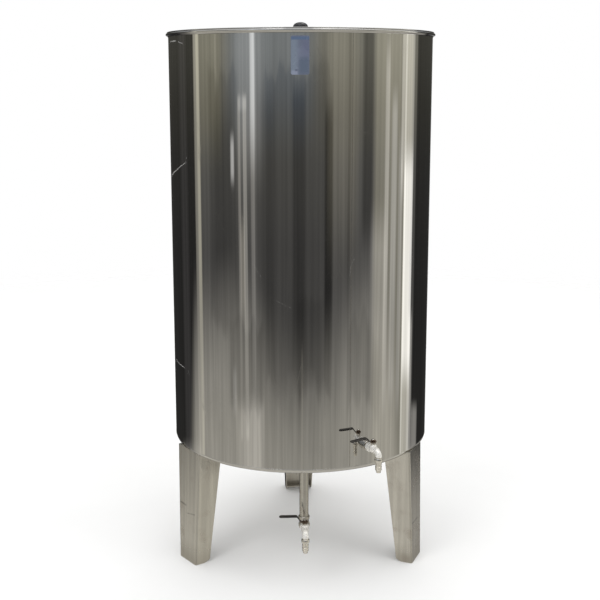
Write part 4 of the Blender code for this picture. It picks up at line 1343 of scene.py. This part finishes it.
def build_world(studio):
    """Even light for matt surfaces, white for the camera, and a room of soft strips for gloss."""
    world = bpy.data.worlds.new("studio")
    bpy.context.scene.world = world
    world.use_nodes = True
    nodes = Nodes(world.node_tree)
    nodes.tree.nodes.clear()
    way = nodes.add("TexCoord").outputs["Generated"]
    room = room_colour(nodes, way)
    path = nodes.add("LightPath")
    level = nodes.times(nodes.range(nodes.split(way)[2], 1.2, 0.8), studio.ambient)
    even, mirrored, plain = [nodes.add("Background", tone).outputs[0]
                             for tone in (level, room, WHITE)]
    seen = nodes.add("MixShader", path.outputs["Is Glossy Ray"], even, mirrored).outputs[0]
    seen = nodes.add("MixShader", path.outputs["Is Camera Ray"], seen, plain).outputs[0]
    nodes.feed(nodes.add("OutputWorld").inputs["Surface"], seen)


def build_floor(studio):
    """A pale floor that fades into the background; the world's own floor stands for it in gloss."""
    shape = bmesh.new()
    bmesh.ops.create_circle(shape, cap_ends=True, cap_tris=True, segments=96,
                            radius=studio.floor_radius)
    mesh = bpy.data.meshes.new("pale_floor")
    shape.to_mesh(mesh)
    shape.free()
    item = add_object("pale_floor", mesh)
    item.visible_glossy = False
    paint = Paint("pale floor")
    paint.set("Roughness", 0.85)
    paint.set("Specular IOR Level", 0.15)
    matt = paint.smudges(3.0, 0.2, 0.8)
    paint.set("Base Color", paint.mix(matt, (0.91, 0.91, 0.905), (0.89, 0.89, 0.885)))
    away = paint.vector("LENGTH", paint.place, output=1)
    edge = studio.floor_radius
    paint.set("Alpha", paint.range(away, 1, 0, edge * 0.70, edge * 0.98, smooth=True))
    mesh.materials.append(paint.material)


def build_light(name, spot, aim_height, size, power):
    """A large soft lamp; glossy surfaces see the world's strips in its place."""
    lamp = bpy.data.lights.new(name, "AREA")
    lamp.shape = "DISK"
    lamp.size = size
    lamp.energy = power
    item = add_object(name, lamp)
    item.location = spot
    aim = Vector((0, 0, aim_height)) - Vector(spot)
    item.rotation_euler = aim.to_track_quat("-Z", "Y").to_euler()
    item.visible_camera = False
    item.visible_glossy = False


def build_camera(studio):
    """The camera at the photograph's place and angle."""
    lens = bpy.data.cameras.new("camera")
    lens.sensor_width = 36
    lens.lens = studio.focal_length
    lens.shift_y = studio.rise
    lens.clip_start, lens.clip_end = 0.05, 100
    item = add_object("camera", lens)
    item.location = (-0.0015, AXIS_Y - studio.eye_distance, studio.eye_height)
    item.rotation_euler = (RIGHT_ANGLE - studio.pitch, 0, 0)
    bpy.context.scene.camera = item


# Operators
class TankVessel(bpy.types.Operator):
    """Build the wall, rim, bottom and welds"""
    bl_idname = "tank.vessel"
    bl_label = "Vessel"

    def execute(self, context):
        for build in (build_wall, build_rim, build_bottom, build_upright_weld):
            build(context.scene.tank_sizes)
        build_round_weld()
        return {"FINISHED"}


class TankSticker(bpy.types.Operator):
    """Put the plain sticker on the wall"""
    bl_idname = "tank.sticker"
    bl_label = "Sticker"

    def execute(self, context):
        build_sticker(context.scene.tank_sizes)
        return {"FINISHED"}


class TankLid(bpy.types.Operator):
    """Build the lid and its knob"""
    bl_idname = "tank.lid"
    bl_label = "Lid"

    def execute(self, context):
        build_lid(context.scene.tank_sizes)
        build_knob()
        return {"FINISHED"}


class TankLegs(bpy.types.Operator):
    """Build the three folded legs with their foot pads and welds"""
    bl_idname = "tank.legs"
    bl_label = "Legs"

    def execute(self, context):
        for side in LEGS:
            for build in (build_leg_channel, build_foot_pad, build_leg_weld):
                build(side, context.scene.tank_sizes)
        return {"FINISHED"}


class TankSideTap(bpy.types.Operator):
    """Build the tap on the wall"""
    bl_idname = "tank.side_tap"
    bl_label = "Side Tap"

    def execute(self, context):
        build_side_tap(context.scene.tank_sizes)
        return {"FINISHED"}


class TankDrain(bpy.types.Operator):
    """Build the drain pipe and its tap"""
    bl_idname = "tank.drain"
    bl_label = "Drain"

    def execute(self, context):
        build_drain(context.scene.tank_sizes)
        return {"FINISHED"}


class TankStage(bpy.types.Operator):
    """Set up the floor, lights, world and camera"""
    bl_idname = "tank.stage"
    bl_label = "Stage"

    def execute(self, context):
        studio = context.scene.tank_studio
        build_world(studio)
        build_floor(studio)
        build_light("key light", (-1.9, -2.6, 3.3), 0.7, 1.8, studio.key_power)
        build_light("fill light", (2.6, -1.6, 2.9), 0.7, 1.6, studio.fill_power)
        build_light("back light", (0.4, 2.8, 3.2), 0.9, 1.6, studio.fill_power)
        build_camera(studio)
        context.scene.view_settings.view_transform = "Standard"
        return {"FINISHED"}


class TankPanel(bpy.types.Panel):
    """The tank's tools and settings"""
    bl_idname = "TANK_PT_main"
    bl_label = "Storage Tank"
    bl_space_type = "VIEW_3D"
    bl_region_type = "UI"
    bl_category = "Tank"

    def draw(self, context):
        for step in STEPS:
            self.layout.operator(step.bl_idname)
        for name in GROUPS:
            group, box = getattr(context.scene, name), self.layout.box()
            for setting in group.__annotations__:
                box.prop(group, setting)


GROUPS = {"tank_sizes": TankSizes, "tank_colours": TankColours, "tank_studio": TankStudio}
STEPS = (TankVessel, TankSticker, TankLid, TankLegs, TankSideTap, TankDrain, TankStage)


def register():
    for name, group in GROUPS.items():
        bpy.utils.register_class(group)
        setattr(bpy.types.Scene, name, bpy.props.PointerProperty(type=group))
    for item in (*STEPS, TankPanel):
        bpy.utils.register_class(item)


def unregister():
    for item in reversed((*STEPS, TankPanel)):
        bpy.utils.unregister_class(item)
    for name, group in reversed(GROUPS.items()):
        delattr(bpy.types.Scene, name)
        bpy.utils.unregister_class(group)


def main():
    register()
    bpy.ops.tank.vessel()
    bpy.ops.tank.sticker()
    bpy.ops.tank.lid()
    bpy.ops.tank.legs()
    bpy.ops.tank.side_tap()
    bpy.ops.tank.drain()
    bpy.ops.tank.stage()


if __name__ == "__main__":
    main()
